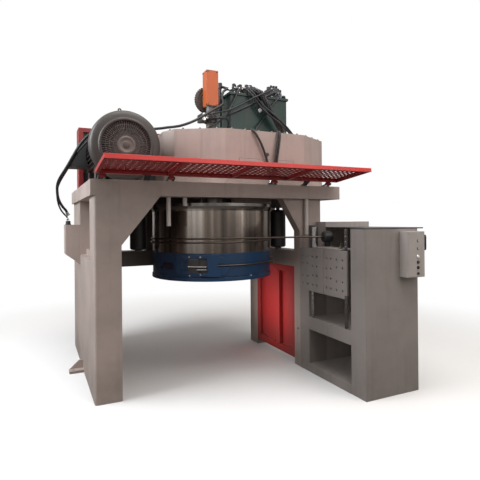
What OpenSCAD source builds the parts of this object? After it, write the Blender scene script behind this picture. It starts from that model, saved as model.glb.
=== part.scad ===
// Inverted vertical wire drawing machine with one drawing block.
// The block hangs from a deck on a left wall and right legs. Wire comes from the die stand
// at the right, wraps the block and is pulled by it. Millimetres, Z up.
// Places are measured from the left end and the front face of the front beam.

/* [Frame] */
// Clear width between the left wall and the right leg
bay_w = 1750; // [1700:10:1900]
// Thickness of the closed left wall
wall_w = 215; // [180:5:260]
// Width of the right leg
leg_w = 250; // [200:5:300]
// Depth of the deck from front to back
deck_depth = 1900; // [1850:10:2100]
// Height of the deck's top face
deck_top = 1800; // [1780:5:1900]
// Height of the beams under the deck's top face
beam_h = 130; // [110:5:140]
// Depth of the front beam
beam_d = 165; // [150:5:180]
// Beam overhang past the left wall
overhang_left = 25; // [10:5:40]
// Beam overhang past the right leg
overhang_right = 200; // [150:5:240]
// Thickness of the deck plate
deck_t = 30; // [20:1:40]
// Radius of the wall's front corner
corner_r = 20; // [5:1:30]
// Distance from the beam's face back to the right leg's face
leg_setback = 60; // [55:1:65]

/* [Wall window] */
// Sill height of the window in the left wall
window_sill = 1124; // [1000:4:1200]
// Front edge of the window
window_front = 285; // [250:5:320]
// Length of the window
window_len = 855; // [700:5:900]
// Thickness of the plate behind the window
inner_plate_t = 12; // [8:1:20]

/* [Side bay] */
// Front face of the right rear post
post_front = 978; // [940:2:1000]
// Depth of the right rear post
post_d = 187; // [150:1:220]
// Underside of the middle rail
rail_z = 990; // [960:5:1010]
// Height of the middle rail
rail_h = 160; // [120:5:160]
// Depth of the middle rail
rail_d = 160; // [120:5:200]
// Side of the square back strut
strut_w = 76; // [60:1:90]

/* [Drawing block] */
// Radius of the polished face
drum_r = 600; // [560:5:610]
// Wall thickness of the block
drum_wall = 30; // [20:1:40]
// Underside of the blue skirt
skirt_z = 913; // [900:1:940]
// Height of the skirt
skirt_h = 254; // [240:1:256]
// Height of the polished face
face_h = 385; // [360:5:390]
// Height of the tapered shoulder
shoulder_h = 41; // [30:1:50]
// Height of the flange rim
rim_h = 27; // [20:1:30]
// Flange reach past the polished face
rim_reach = 18; // [12:1:20]
// Distance from the front face back to the block's axis
drum_y = 588; // [585:1:600]
// Distance from the left wall to the block's axis
drum_dx = 1017; // [1000:1:1030]
// Radius of the spindle
spindle_r = 110; // [90:1:130]

/* [Wire and die stand] */
// Radius of the drawn wire
wire_r = 8; // [5:0.5:9]
// Height of the wire at the die
wire_z = 1300; // [1290:1:1310]
// Drop of the wire in one turn
wire_pitch = 36; // [26:1:40]
// Width of the die stand's front column
stand_w = 570; // [520:5:600]
// Reach of the die stand in front of the beam
stand_reach = 890; // [860:5:920]
// Height of the die stand
stand_h = 1390; // [1380:1:1400]
// Depth of the stand's front column
column_d = 180; // [160:1:190]
// Height of the taller rear box
rear_box_h = 1441; // [1420:1:1460]
// Radius of the guide roller
guide_r = 33; // [28:1:35]
// Radius of the die holder
holder_r = 53; // [45:1:58]
// Radius of the plate's drilled holes
hole_r = 9; // [6:0.5:10]

/* [Press rollers] */
// Radius of the rubber rollers
press_r = 80; // [70:1:82]
// Length of the rubber rollers
press_len = 391; // [360:1:391]

/* [Motor] */
// Outer radius of the fan cowl
cowl_r = 296; // [270:1:296]
// Length of the fan cowl
cowl_len = 190; // [160:5:240]
// Length of the finned body
motor_len = 860; // [780:5:865]
// Number of cooling fins
fin_count = 44; // [24:2:48]
// Number of slots in the cowl's grille
slot_count = 36; // [24:2:40]

/* [Deck machinery] */
// Height of the gearbox cover
cover_h = 510; // [480:5:540]
// Width of the oil tank
tank_w = 693; // [640:1:700]
// Depth of the oil tank
tank_d = 430; // [400:5:440]
// Height of the oil tank
tank_h = 500; // [460:5:520]
// Sheet thickness of the oil tank
tank_wall = 6; // [4:1:10]
// Height of the belt guard
guard_h = 640; // [600:1:700]

/* [Walkway] */
// Length of the walkway along the beam
walk_len = 2349; // [2300:1:2380]
// Depth of the walkway
walk_d = 507; // [460:1:520]
// Tilt of the walkway
walk_tilt = 9.6; // [6:0.1:12]
// Number of bays in the walkway
walk_bays = 4; // [3:1:5]
// Height of the walkway's frame bars
walk_bar = 30; // [24:1:34]

/* [Hidden] */
$fn = 64;

// Small gap between pieces on different bodies, and running clearance at a pin
gap = 0.3;
running = 0.06;
clear_moving = 5;

// Frame places
x_wall = overhang_left;
x_bay = x_wall + wall_w;
x_leg = x_bay + bay_w;
x_leg_out = x_leg + leg_w;
beam_len = x_leg_out + overhang_right;
beam_z = deck_top - beam_h;
rail_top = rail_z + rail_h;
post_back = post_front + post_d;
window_back = window_front + window_len;
leg_back = beam_d;

// Gusset sizes
gusset_left_run = 325;
gusset_left_drop = 405;
gusset_right_run = 195;
gusset_right_drop = 317;

// Cable box on the outside of the left wall
cable_box_out = 140;
cable_box_y = 1150;
cable_box_len = 250;
cable_box_z = 1130;
cable_box_h = 301;
cable_box_wedge = 107;

// Anchor foot
foot_out = 131;
foot_y = 860;
foot_len = 90;
foot_t = 25;
foot_rib_h = 77;
anchor_r = 13;

// Block places
drum_x = x_bay + drum_dx;
skirt_top = skirt_z + skirt_h;
face_top = skirt_top + face_h;
shoulder_top = face_top + shoulder_h;
drum_top = shoulder_top + rim_h;
web_t = 30;
// Angle of the block's face that looks at the gripper's middle
front_angle = 248.5;

// Die stand places
stand_front = -stand_reach;
column_back = stand_front + column_d;
rear_column_front = -95;
stand_x_out = x_leg + stand_w;
sheet_t = 12;
sill_z = 408;
sill_top = 530;
plinth_h = 80;
plate_z = 785;
plate_h = 406;
plate_top = plate_z + plate_h;
rear_column_h = 1185;
rear_column_w = 204;
rear_box_x = x_leg + rear_column_w;
rear_box_w = 546;
lid_t = 10;
lid_over = 68;

// Wire places
wire_gap = clear_moving;
wire_run_r = drum_r + wire_gap + wire_r;
die_x = x_leg + 93;
die_y = -194;
die_dist = norm([die_x - drum_x, die_y - drum_y]);
die_angle = atan2(die_y - drum_y, die_x - drum_x);
// Angle on the block where the lead leaves it
lead_angle = die_angle - acos(wire_run_r / die_dist);
lead_start = [drum_x + wire_run_r * cos(lead_angle), drum_y + wire_run_r * sin(lead_angle)];
lead_heading = atan2(die_y - lead_start[1], die_x - lead_start[0]);
lead_len = norm([die_x - lead_start[0], die_y - lead_start[1]]);
holder_len = 92;

// Guide roller places: it stands behind the wire, just clear of it
guide_x = x_leg + 38;
lead_y_at_guide = lead_start[1] + (guide_x - lead_start[0]) * tan(lead_heading);
guide_y = lead_y_at_guide + wire_r / cos(lead_heading) + clear_moving + guide_r;
guide_pin_r = 10;
guide_z = 1200;
guide_len = 193;
bracket_t = 11;

// Press roller places, as angle and distance from the block's axis
press_z = 1180;
press_pin_r = 20;
press_right_dist = drum_r + wire_gap + 2 * wire_r + clear_moving + press_r;
press_left_dist = press_right_dist + 35;
press_right = [drum_x + press_right_dist * cos(-16), drum_y + press_right_dist * sin(-16)];
press_left = [drum_x + press_left_dist * cos(168), drum_y + press_left_dist * sin(168)];
hanger_w = 100;

// Motor places
motor_x = x_bay + 62;
motor_z = deck_top + cowl_r + 4;
cowl_y = 80;
cowl_t = 8;
motor_body_y = cowl_y + cowl_len;
motor_core_r = 0.78 * cowl_r;
fin_r = 0.865 * cowl_r;
fin_t = 6;
motor_shaft_r = 45;

// Deck machinery places
cover_top = deck_top + cover_h;
cover_front = 50;
cover_back = 1126;
tank_x = 1502;
tank_y = 630;
tank_top = cover_top + tank_h;
lid_h = 25;
guard_x = 20;
guard_len = 1480;
guard_y = 1180;
guard_d = 220;
guard_bar = 45;
guard_recess = 20;
column_r = 49;
column_h = 329;
case_w = 124;
case_h = 361;
case_z = cover_top + column_h;
top_motor_r = 134;
top_motor_y = drum_y + 40;
top_motor_z = case_z + 84;
top_motor_len = 78;
clamp_z = cover_top + 152;
clamp_h = 81;
clamp_reach = 138;

// Walkway places
hinge_y = -32;
hinge_z = deck_top + 22;
hinge_pin_r = 8;
knuckle_r = 13;
knuckle_len = 40;
lug_t = 10;
walk_x = x_wall + 8;
walk_bottom = 16;
walk_sheet_t = 4;
hinge_xs = [walk_x + 55, walk_x + 617, walk_x + 1619, walk_x + 2241];
rest_xs = [walk_x + 412, walk_x + 1976];
rest_w = 50;
bay_len = (walk_len - walk_bar) / walk_bays;
mesh_pitch = 46;
mesh_hole_r = 15;

// Middle of the object's box on the floor, which is the origin
x_low = x_wall - cable_box_out;
x_high = rear_box_x + rear_box_w;
button_len = 14;
box_proud = 91;
y_low = stand_front - box_proud - button_len;
y_high = deck_depth;
origin_x = (x_low + x_high) / 2;
origin_y = (y_low + y_high) / 2;

// Hose routes, in round numbers, each a list of places from fitting to fitting
hose_front_left_r = 11;
hose_front_left_route = [
    [1530, 560, 2350], [1530, 500, 2350], [1510, 400, 2340], [1480, 280, 2328],
    [1464, 150, 2324], [1459, 80, 2324], [1460, 50, 2324], [1463, 40, 2320],
    [1468, 36, 2310], [1500, 26, 2260], [1545, 20, 2180], [1597, 24, 2060],
    [1634, 32, 1940], [1652, 36, 1850], [1652, 36, 1812]
];
hose_front_right_r = 11;
hose_front_right_route = [
    [1800, 560, 2350], [1800, 500, 2350], [1796, 400, 2340], [1785, 280, 2328],
    [1772, 150, 2324], [1766, 80, 2324], [1764, 50, 2324], [1762, 40, 2320],
    [1759, 36, 2310], [1750, 26, 2260], [1735, 20, 2180], [1718, 24, 2060],
    [1708, 32, 1940], [1702, 36, 1850], [1702, 36, 1812]
];
hose_cross_r = 12;
hose_cross_route = [
    [2080, 690, 2900], [2080, 676, 2900], [2067, 645, 2897], [2035, 612, 2886],
    [1985, 601, 2862], [1880, 600, 2800], [1760, 598, 2732], [1640, 594, 2668],
    [1520, 588, 2608], [1420, 586, 2564], [1370, 587, 2540], [1336, 588, 2528],
    [1306.3, 588, 2528]
];
hose_bundle_r = 30;
hose_bundle_route = [
    [1802, 710, 2902], [1802, 685, 2902], [1805, 640, 2898], [1814, 600, 2884],
    [1834, 572, 2850], [1868, 548, 2790], [1915, 542, 2700], [1968, 540, 2610],
    [2030, 540, 2510], [2088, 540, 2440], [2126, 540, 2385], [2126, 540, 2345]
];
bundle_end = hose_bundle_route[11];
hose_long_r = 13;
hose_long_route = [
    [1562, 745, 2900], [1520, 745, 2900], [1470, 732, 2872], [1430, 690, 2800],
    [1410, 630, 2735], [1385, 560, 2685], [1345, 490, 2645], [1290, 455, 2610],
    [1210, 432, 2560], [1120, 415, 2500], [1000, 405, 2427], [870, 420, 2375],
    [760, 455, 2358], [690, 485, 2348], [600, 520, 2342], [500, 550, 2346],
    [400, 575, 2366], [308, 585, 2377], [215, 590, 2362], [160, 595, 2334],
    [120, 600, 2306], [40, 612, 2240], [-10, 630, 2180], [-50, 655, 2110],
    [-90, 685, 2035], [-122, 720, 1972], [-162, 790, 1905], [-190, 880, 1850],
    [-198, 980, 1790], [-185, 1080, 1700], [-150, 1150, 1630], [-108, 1190, 1580],
    [-85, 1200, 1550], [-85, 1200, 1530]
];
cable_gland = [-85, 1200];
cable_gland_h = hose_long_route[33][2] - cable_box_z - cable_box_h;

// Rounds one corner of a rectangle that starts at the origin
module corner_rounded(w, d, r) {
    difference() {
        square([w, d]);
        square([r, r]);
    }
    translate([r, r])
        circle(r);
}

// Puts a piece in the part's own frame
module place() {
    translate([-origin_x, -origin_y, 0])
        children();
}

// A box from its low corner to its high corner
module box(low, high) {
    translate(low)
        cube(high - low);
}

// A profile in X and Z carried along Y
module along_y(y, len) {
    translate([0, y + len, 0])
        rotate([90, 0, 0])
            linear_extrude(len)
                children();
}

// A profile in Y and Z carried along X
module along_x(x, len) {
    translate([x, 0, 0])
        rotate([90, 0, 90])
            linear_extrude(len)
                children();
}

// Frame pieces
module left_wall() {
    place() color("#c9bfb8")
        translate([x_wall, 0, 0])
            linear_extrude(window_sill)
                corner_rounded(wall_w, deck_depth, corner_r);
}

module left_wall_posts() {
    place() color("#c9bfb8") {
        translate([x_wall, 0, window_sill])
            linear_extrude(beam_z - window_sill)
                corner_rounded(wall_w, window_front, corner_r);
        box([x_wall, window_back, window_sill], [x_bay, deck_depth, beam_z]);
    }
}

module left_inner_plate() {
    place() color("#bdb4ae") {
        box([x_bay - inner_plate_t, window_front, window_sill], [x_bay, window_back, beam_z]);
        box([x_wall + 60, window_front, window_sill], [x_bay - inner_plate_t, window_back, window_sill + 60]);
    }
}

module cable_box() {
    place() color("#b8aea6")
        along_y(cable_box_y, cable_box_len)
            polygon([
                [x_wall, cable_box_z - cable_box_wedge],
                [x_wall, cable_box_z + cable_box_h],
                [x_wall - cable_box_out, cable_box_z + cable_box_h],
                [x_wall - cable_box_out, cable_box_z]
            ]);
}

module anchor_foot() {
    place() color("#c9bfb8")
        difference() {
            union() {
                box([x_wall - foot_out, foot_y, 0], [x_wall, foot_y + foot_len, foot_t]);
                along_y(foot_y + foot_len - 15, 15)
                    polygon([
                        [x_wall, foot_t - 1],
                        [x_wall, foot_t + foot_rib_h],
                        [x_wall - 40, foot_t + foot_rib_h],
                        [x_wall - foot_out + 5, foot_t - 1]
                    ]);
            }
            translate([x_wall - foot_out + 40, foot_y + 35, -1])
                cylinder(r = anchor_r, h = foot_t + 2);
        }
}

module gusset(run, drop) {
    polygon([[0, 0], [run, 0], [0, -drop]]);
}

module box_gussets() {
    place() color("#c9bfb8") {
        translate([x_bay, 0, beam_z])
            along_y(0, beam_d)
                gusset(gusset_left_run, gusset_left_drop);
        translate([x_leg, 0, beam_z])
            along_y(leg_setback, leg_back - leg_setback)
                mirror([1, 0])
                    gusset(gusset_right_run, gusset_right_drop);
    }
}

module front_beam() {
    place() color("#c9bfb8")
        translate([0, 0, beam_z])
            cube([beam_len, beam_d, beam_h]);
}

module side_beams() {
    place() color("#d8d0c8") {
        box([0, beam_d, beam_z], [x_bay, deck_depth, deck_top]);
        box([x_leg, beam_d, beam_z], [beam_len, deck_depth, deck_top]);
    }
}

module back_beam() {
    place() color("#c9bfb8")
        box([x_bay, deck_depth - beam_d, beam_z], [x_leg, deck_depth, deck_top]);
}

// The bearing ring under the deck plate carries the spindle
bearing_r = 230;
bearing_h = 70;
module deck_plate() {
    place() color("#a39b95")
        difference() {
            union() {
                box([x_bay, beam_d, deck_top - deck_t], [x_leg, deck_depth - beam_d, deck_top]);
                translate([drum_x, drum_y, deck_top - deck_t - bearing_h])
                    cylinder(r = bearing_r, h = bearing_h + 1);
            }
            translate([drum_x, drum_y, deck_top - deck_t - bearing_h - 1])
                cylinder(r = spindle_r + running, h = deck_t + bearing_h + 2);
        }
}

module right_leg() {
    place() color("#c9bfb8")
        box([x_leg, leg_setback, 0], [x_leg_out, leg_back, beam_z]);
}

module right_rear_post() {
    place() color("#c2b9b2")
        box([x_leg, post_front, 0], [x_leg_out, post_back, beam_z]);
}

module right_mid_rail() {
    place() color("#cfc6bf")
        box([x_leg, leg_back, rail_z], [x_leg + rail_d, post_front, rail_top]);
}

strut_x = drum_x - drum_r + 23;
module back_cross_beam() {
    place() color("#8d857f")
        box([x_bay, post_front + 22, rail_z], [strut_x + strut_w, post_back, rail_top]);
}

module back_strut() {
    place() color("#77746f")
        box([strut_x, post_front + 55, rail_top], [strut_x + strut_w, post_front + 55 + strut_w, deck_top - deck_t]);
}

// Rods under the front beam: place and length
rod_r = 19;
hanging_rod_list = [[657, 82, 254], [806, 82, 77], [2052, 30, 352]];
module hanging_rods() {
    place() color("#c4bcb5")
        for (rod = hanging_rod_list)
            translate([rod[0], rod[1], beam_z - rod[2]])
                cylinder(r = rod_r, h = rod[2]);
}

// Red gate between the right leg and the rear post
gate_z = 60;
gate_bar = 70;
gate_t = 60;
gate_tee_y = 450;
module side_gate() {
    place() color("#c8282c")
        translate([x_leg, 0, 0]) {
            difference() {
                box([0, leg_back, gate_z], [gate_t, post_front, rail_z]);
                box([-1, leg_back + gate_bar, gate_z + gate_bar], [30, post_front - gate_bar, rail_z - gate_bar]);
                box([42, leg_back + gate_bar, gate_z + gate_bar], [gate_t + 1, post_front - gate_bar, rail_z - gate_bar]);
            }
            box([-12, gate_tee_y, gate_z + gate_bar], [30, gate_tee_y + 70, rail_z - gate_bar]);
        }
}

// Die stand
module stand_column() {
    place() color("#b5aca6")
        box([x_leg, stand_front, 0], [stand_x_out, column_back, stand_h - lid_t]);
}

module stand_outer_panel() {
    place() color("#b5aca6")
        box([stand_x_out - sheet_t, column_back, plinth_h], [stand_x_out, rear_column_front, stand_h - lid_t]);
}

module stand_sills() {
    place() color("#b5aca6") {
        box([x_leg, column_back, 0], [stand_x_out, rear_column_front, plinth_h]);
        box([x_leg, column_back, sill_z], [stand_x_out - sheet_t, rear_column_front, sill_top]);
    }
}

module stand_rear_column() {
    place() color("#b5aca6")
        box([x_leg, rear_column_front, 0], [rear_box_x, leg_setback, rear_column_h]);
}

module stand_rear_box() {
    place() color("#bdb4ad")
        box([rear_box_x, rear_column_front, 0], [rear_box_x + rear_box_w, leg_setback, rear_box_h]);
}

module stand_lid() {
    place() color("#4a4744") {
        box([x_leg, stand_front, stand_h - lid_t], [stand_x_out + lid_over, column_back, stand_h]);
        box([rear_box_x, column_back, stand_h - lid_t], [stand_x_out + lid_over, rear_column_front, stand_h]);
    }
}

// Drilled plate: columns of holes left and right of its raised strip
plate_t = 18;
strip_t = 6;
plate_front = -680;
plate_rear = 15;
strip_y = -358;
strip_w = 70;
inner_offsets = [73, 138];
outer_offsets = [220, 302];
inner_rows = [850, 938, 1026, 1114];
outer_rows = [849, 922, 1045, 1112];
notch = 30;
module hole_along_x(y, z) {
    translate([x_leg - plate_t - 1, y, z])
        rotate([0, 90, 0])
            cylinder(r = hole_r, h = plate_t + 2);
}

module drilled_plate() {
    middle = strip_y + strip_w / 2;
    place() color("#bab2ac")
        difference() {
            union() {
                box([x_leg - plate_t, plate_front, plate_z], [x_leg, plate_rear, plate_top]);
                box([x_leg - plate_t - strip_t, strip_y, plate_z], [x_leg - plate_t + 1, strip_y + strip_w, plate_top]);
            }
            for (side = [-1, 1]) {
                for (offset = inner_offsets, row = inner_rows)
                    hole_along_x(middle + side * offset, row);
                for (offset = outer_offsets, row = outer_rows)
                    hole_along_x(middle + side * offset, row);
            }
            box([x_leg - plate_t - 1, plate_front - 1, plate_z - 1], [x_leg + 1, plate_front + notch, plate_z + notch]);
        }
}

// Perforated rails behind the drilled plate
rail_strip_t = 8;
rail_strip_w = 34;
rail_pitch = 45;
rail_hole_r = 8;
module perforated_rail(y, top) {
    difference() {
        box([x_leg, y - rail_strip_w / 2, sill_top], [x_leg + rail_strip_t, y + rail_strip_w / 2, top]);
        for (z = [sill_top + 30 : rail_pitch : top - 20])
            translate([x_leg - 1, y, z])
                rotate([0, 90, 0])
                    cylinder(r = rail_hole_r, h = rail_strip_t + 2);
    }
}

module plate_rails() {
    place() color("#d5d5d8") {
        perforated_rail(rear_column_front - 59, rear_column_h);
        perforated_rail(column_back + 64, stand_h - lid_t);
    }
}

// Die holder, turned in line with the lead
tray_t = 14;
tray_front = -588;
tray_rear = -180;
tray_reach = 170;
holder_foot_w = 40;
module die_holder() {
    place() color("#26262b")
        translate([die_x, die_y, wire_z])
            rotate([0, 0, lead_heading]) {
                rotate([0, 90, 0])
                    rotate_extrude()
                        polygon([
                            [0, 0], [holder_r - 14, 0], [holder_r - 4, 5], [holder_r, 16],
                            [holder_r, holder_len - 16], [holder_r - 4, holder_len - 5],
                            [holder_r - 14, holder_len], [0, holder_len]
                        ]);
                box([30, -holder_foot_w / 2, plate_top + tray_t - wire_z], [30 + holder_foot_w, holder_foot_w / 2, -holder_r + 8]);
            }
}

module die_tray() {
    place() color("#cbc5bf")
        difference() {
            box([x_leg - plate_t, tray_front, plate_top], [x_leg + tray_reach, tray_rear, plate_top + tray_t]);
            translate([x_leg + 20, tray_front + 28, plate_top - 1])
                cylinder(r = 7, h = tray_t + 2);
        }
}

// Guide roller on its pin between two arms
bracket_post_y = rear_column_front - 3;
module guide_roller_bracket() {
    top_z = guide_z + guide_len + 4;
    place() color("#8f8a86") {
        box([guide_x - 20, bracket_post_y, rear_column_h], [guide_x + 20, bracket_post_y + 30, top_z + bracket_t]);
        box([guide_x - 20, guide_y - 25, rear_column_h], [guide_x + 20, bracket_post_y + 1, rear_column_h + bracket_t]);
        box([guide_x - 20, guide_y - 25, top_z], [guide_x + 20, bracket_post_y + 1, top_z + bracket_t]);
        translate([guide_x, guide_y, rear_column_h + 1])
            cylinder(r = guide_pin_r, h = top_z - rear_column_h);
    }
}

module guide_roller() {
    place() color("#e4e4e8")
        translate([guide_x, guide_y, guide_z])
            difference() {
                cylinder(r = guide_r, h = guide_len);
                translate([0, 0, -1])
                    cylinder(r = guide_pin_r + running, h = guide_len + 2);
            }
}

// Control box with its lamps, buttons and side handles
control_x = x_leg + 363;
control_w = 189;
control_h = 378;
control_z = stand_h - lid_t - 22 - control_h;
control_face = stand_front - box_proud;
button_x = control_x + 112;
button_rows = [[309, 9], [247, 9], [181, 15], [123, 13], [80, 13], [38, 12]];
handle_rows = [90, 140, 190];
module control_box() {
    place() color("#c4bbb4")
        box([control_x, control_face, control_z], [control_x + control_w, stand_front, control_z + control_h]);
}

module control_buttons() {
    place() color("#2a2a2c") {
        for (row = button_rows)
            translate([button_x, control_face, control_z + row[0]])
                rotate([90, 0, 0])
                    cylinder(r = row[1], h = button_len);
        translate([control_x + control_w, control_face + 20, control_z + control_h - 118])
            cube([46, 50, 100]);
        for (row = handle_rows)
            translate([control_x + control_w, control_face + 45, control_z + row])
                rotate([0, 90, 0])
                    cylinder(r = 16, h = 34);
    }
}

// The drawing block: a hollow drum, open at the bottom, with a web at the top
module drum() {
    inner = drum_r - drum_wall;
    place() color("#cfcac4")
        translate([drum_x, drum_y, 0])
            rotate_extrude($fn = 128)
                polygon([
                    [inner, skirt_top], [drum_r, skirt_top], [drum_r, face_top],
                    [drum_r + rim_reach, shoulder_top], [drum_r + rim_reach, drum_top],
                    [spindle_r, drum_top], [spindle_r, drum_top - web_t],
                    [inner, drum_top - web_t]
                ]);
}

// Blue skirt with a lower rim and a slot for loading
skirt_rim_h = 32;
module drum_skirt() {
    inner = drum_r - drum_wall;
    place() color("#1f4f86")
        translate([drum_x, drum_y, 0])
            difference() {
                rotate_extrude($fn = 128)
                    polygon([
                        [inner, skirt_z], [drum_r + 5, skirt_z], [drum_r + 5, skirt_z + skirt_rim_h],
                        [drum_r - 3, skirt_z + skirt_rim_h + 8], [drum_r - 3, skirt_top], [inner, skirt_top]
                    ]);
                rotate([0, 0, front_angle - 46])
                    translate([0, 0, skirt_z + 132])
                        rotate([0, 90, 0]) {
                            for (side = [-1, 1])
                                translate([0, side * 70, 0])
                                    cylinder(r = 33, h = drum_r + 20);
                            translate([-33, -70, 0])
                                cube([66, 140, drum_r + 20]);
                        }
            }
}

// A curved band on the skirt from one angle to another
module band(from, to, low, high, r_in, r_out) {
    rotate([0, 0, front_angle + from])
        rotate_extrude(angle = to - from, $fn = 128)
            translate([r_in, low])
                square([r_out - r_in, high - low]);
}

band_in = drum_r - 3;
lug_out = drum_r + 24;
rod_z = skirt_z + 145;
rod_run_r = drum_r + 18;
// Windows through the gripper's plate, from one height to another above the skirt's edge
gripper_windows = [[92, 128], [150, 192]];
module gripper() {
    place() color("#27609c")
        translate([drum_x, drum_y, 0])
            difference() {
                union() {
                    band(-33, 74, skirt_z + skirt_rim_h + 10, skirt_top, band_in, drum_r + 4);
                    band(-33, -11, skirt_z + 66, skirt_top - 14, band_in, drum_r + 12);
                    band(-11, -4, skirt_z + 52, skirt_z + 78, band_in, lug_out);
                    band(-11, -4, skirt_top - 44, skirt_top - 18, band_in, lug_out);
                    band(-4, 7, skirt_z + 46, skirt_top - 12, band_in, lug_out);
                    rotate([0, 0, front_angle + 7])
                        translate([band_in, 0, skirt_z + 138])
                            rotate([0, 90, 0])
                                cylinder(r = 84, h = lug_out - band_in - 6);
                }
                for (window = gripper_windows)
                    band(-26, -13, skirt_z + window[0], skirt_z + window[1], drum_r + 1, drum_r + 30);
                band(4.5, 20, rod_z - 14, rod_z + 14, drum_r + 6, drum_r + 40);
            }
}

// Rod that pulls the gripper round, with its anchor lug
module tie_rod() {
    place() color("#3a3b40")
        translate([drum_x, drum_y, 0]) {
            rotate([0, 0, front_angle + 4.5])
                rotate_extrude(angle = 75.5, $fn = 128)
                    translate([rod_run_r, rod_z])
                        circle(r = 7, $fn = 32);
            band(80, 86, rod_z - 30, rod_z + 30, band_in, drum_r + 34);
        }
}

module drum_spindle() {
    place() color("#9a9894")
        translate([drum_x, drum_y, drum_top - web_t])
            cylinder(r = spindle_r, h = deck_top - clear_moving - drum_top + web_t);
}

// Points along the wire: turns round the block, then the straight lead to the die
turns = 1.5;
turn_steps = 44;
wire_points = concat(
    [for (i = [0 : turn_steps])
        let (part = 1 - i / turn_steps, a = lead_angle - 360 * turns * part)
            [drum_x + wire_run_r * cos(a), drum_y + wire_run_r * sin(a),
             wire_z - wire_pitch * turns * part]],
    [for (s = [0.02, 0.5, 1])
        [lead_start[0] + (die_x - lead_start[0]) * s, lead_start[1] + (die_y - lead_start[1]) * s, wire_z]]
);

// Directions along a route, and a side direction carried along it without twist
function unit(v) = v / norm(v);
function heading_at(p, i) = let (n = len(p))
    i == 0 ? unit(p[1] - p[0]) : i == n - 1 ? unit(p[n - 1] - p[n - 2]) : unit(p[i + 1] - p[i - 1]);
function first_side(t) = unit(cross(t, abs(t[2]) > 0.8 ? [0, 1, 0] : [0, 0, 1]));
function sides(p, i) = i == 0
    ? [first_side(heading_at(p, 0))]
    : let (before = sides(p, i - 1), t = heading_at(p, i), u = before[i - 1])
        concat(before, [unit(u - t * (u * t))]);

// A round tube of radius r along a route p with n flat sides
module tube(p, r, n = 8) {
    u = sides(p, len(p) - 1);
    points = [for (i = [0 : len(p) - 1], k = [0 : n - 1])
        let (t = heading_at(p, i), v = cross(t, u[i]), a = 360 * k / n)
            p[i] + r * (cos(a) * u[i] + sin(a) * v)];
    last = (len(p) - 1) * n;
    walls = [for (i = [0 : len(p) - 2], k = [0 : n - 1])
        let (a = i * n + k, b = i * n + (k + 1) % n) each [[a, b + n, b], [a, a + n, b + n]]];
    caps = [[for (k = [0 : n - 1]) k], [for (k = [n - 1 : -1 : 0]) last + k]];
    polyhedron(points, concat(walls, caps));
}

module drawn_wire() {
    place() color("#55524f")
        tube(wire_points, wire_r);
}

// Press rollers, each on a pin that hangs from the deck
module press_hanger(at) {
    pin_bottom = press_z - 20;
    block_z = press_z + press_len + 20;
    translate([at[0], at[1], 0]) {
        box([-hanger_w / 2, -hanger_w / 2, block_z], [hanger_w / 2, hanger_w / 2, deck_top - deck_t]);
        translate([0, 0, pin_bottom])
            cylinder(r = press_pin_r, h = block_z - pin_bottom + 1);
        translate([0, 0, pin_bottom])
            cylinder(r = press_pin_r + 15, h = 15);
    }
}

module press_roller_hangers() {
    place() color("#6b6864") {
        press_hanger(press_right);
        press_hanger(press_left);
    }
}

module press_roller(at) {
    translate([at[0], at[1], press_z])
        rotate_extrude()
            polygon([
                [press_pin_r + running, 0], [press_r - 12, 0], [press_r, 12],
                [press_r, press_len - 22], [press_r - 22, press_len], [press_pin_r + running, press_len]
            ]);
}

module press_roller_right() {
    place() color("#2b2b36")
        press_roller(press_right);
}

module press_roller_left() {
    place() color("#2b2b36")
        press_roller(press_left);
}

// Main motor: a finned body on two feet
module motor_body() {
    place() color("#7d7671")
        translate([motor_x, motor_body_y, motor_z]) {
            rotate([-90, 0, 0]) {
                cylinder(r = motor_core_r, h = motor_len);
                cylinder(r = motor_shaft_r, h = guard_y + guard_recess - gap - motor_body_y);
                for (i = [0 : fin_count - 1])
                    rotate([0, 0, 360 * i / fin_count])
                        translate([motor_core_r - 4, -fin_t / 2, 30])
                            cube([fin_r - motor_core_r + 4, fin_t, motor_len - 90]);
            }
            for (y = [130, motor_len - 230], side = [-1, 1])
                translate([side * 165 - 45, y, deck_top - motor_z])
                    cube([90, 110, 150]);
            for (side = [-1, 1])
                translate([side * 165 - 70, 100, deck_top - motor_z])
                    cube([140, motor_len - 200, 22]);
        }
}

module motor_cowl() {
    place() color("#8f8782")
        translate([motor_x, cowl_y, motor_z])
            rotate([-90, 0, 0])
                difference() {
                    rotate_extrude($fn = 128)
                        polygon([
                            [0, 0], [cowl_r * 0.66, 0], [cowl_r * 0.67, -5], [cowl_r * 0.70, -5], [cowl_r * 0.92, 22],
                            [cowl_r, 70], [cowl_r, cowl_len - gap], [0, cowl_len - gap],
                            [0, cowl_len - 20], [cowl_r - cowl_t, cowl_len - 20], [cowl_r - cowl_t, 74],
                            [cowl_r * 0.90, 30], [cowl_r * 0.66, cowl_t], [0, cowl_t]
                        ]);
                    for (i = [0 : slot_count - 1])
                        rotate([0, 0, 360 * i / slot_count])
                            translate([cowl_r * 0.26, -2.5, -1])
                                cube([cowl_r * 0.36, 5, cowl_t + 2]);
                }
}

module terminal_box() {
    place() color("#33363c")
        difference() {
            along_y(motor_body_y + 470, 220)
                polygon([
                    [-10, motor_z + 121], [-112, motor_z - 122],
                    [motor_x - fin_r + 25, motor_z - 122], [motor_x - fin_r + 25, motor_z + 121]
                ]);
            translate([motor_x, motor_body_y + 469, motor_z])
                rotate([-90, 0, 0])
                    cylinder(r = fin_r + gap, h = 222);
        }
}

// Belt guard behind the motor
module belt_guard_frame() {
    place() color("#b8262a")
        difference() {
            box([guard_x, guard_y, deck_top], [guard_x + guard_len, guard_y + guard_d, deck_top + guard_h]);
            box([guard_x + guard_bar, guard_y - 1, deck_top + guard_bar],
                [guard_x + guard_len - guard_bar, guard_y + guard_d + 1, deck_top + guard_h - guard_bar]);
        }
}

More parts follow.
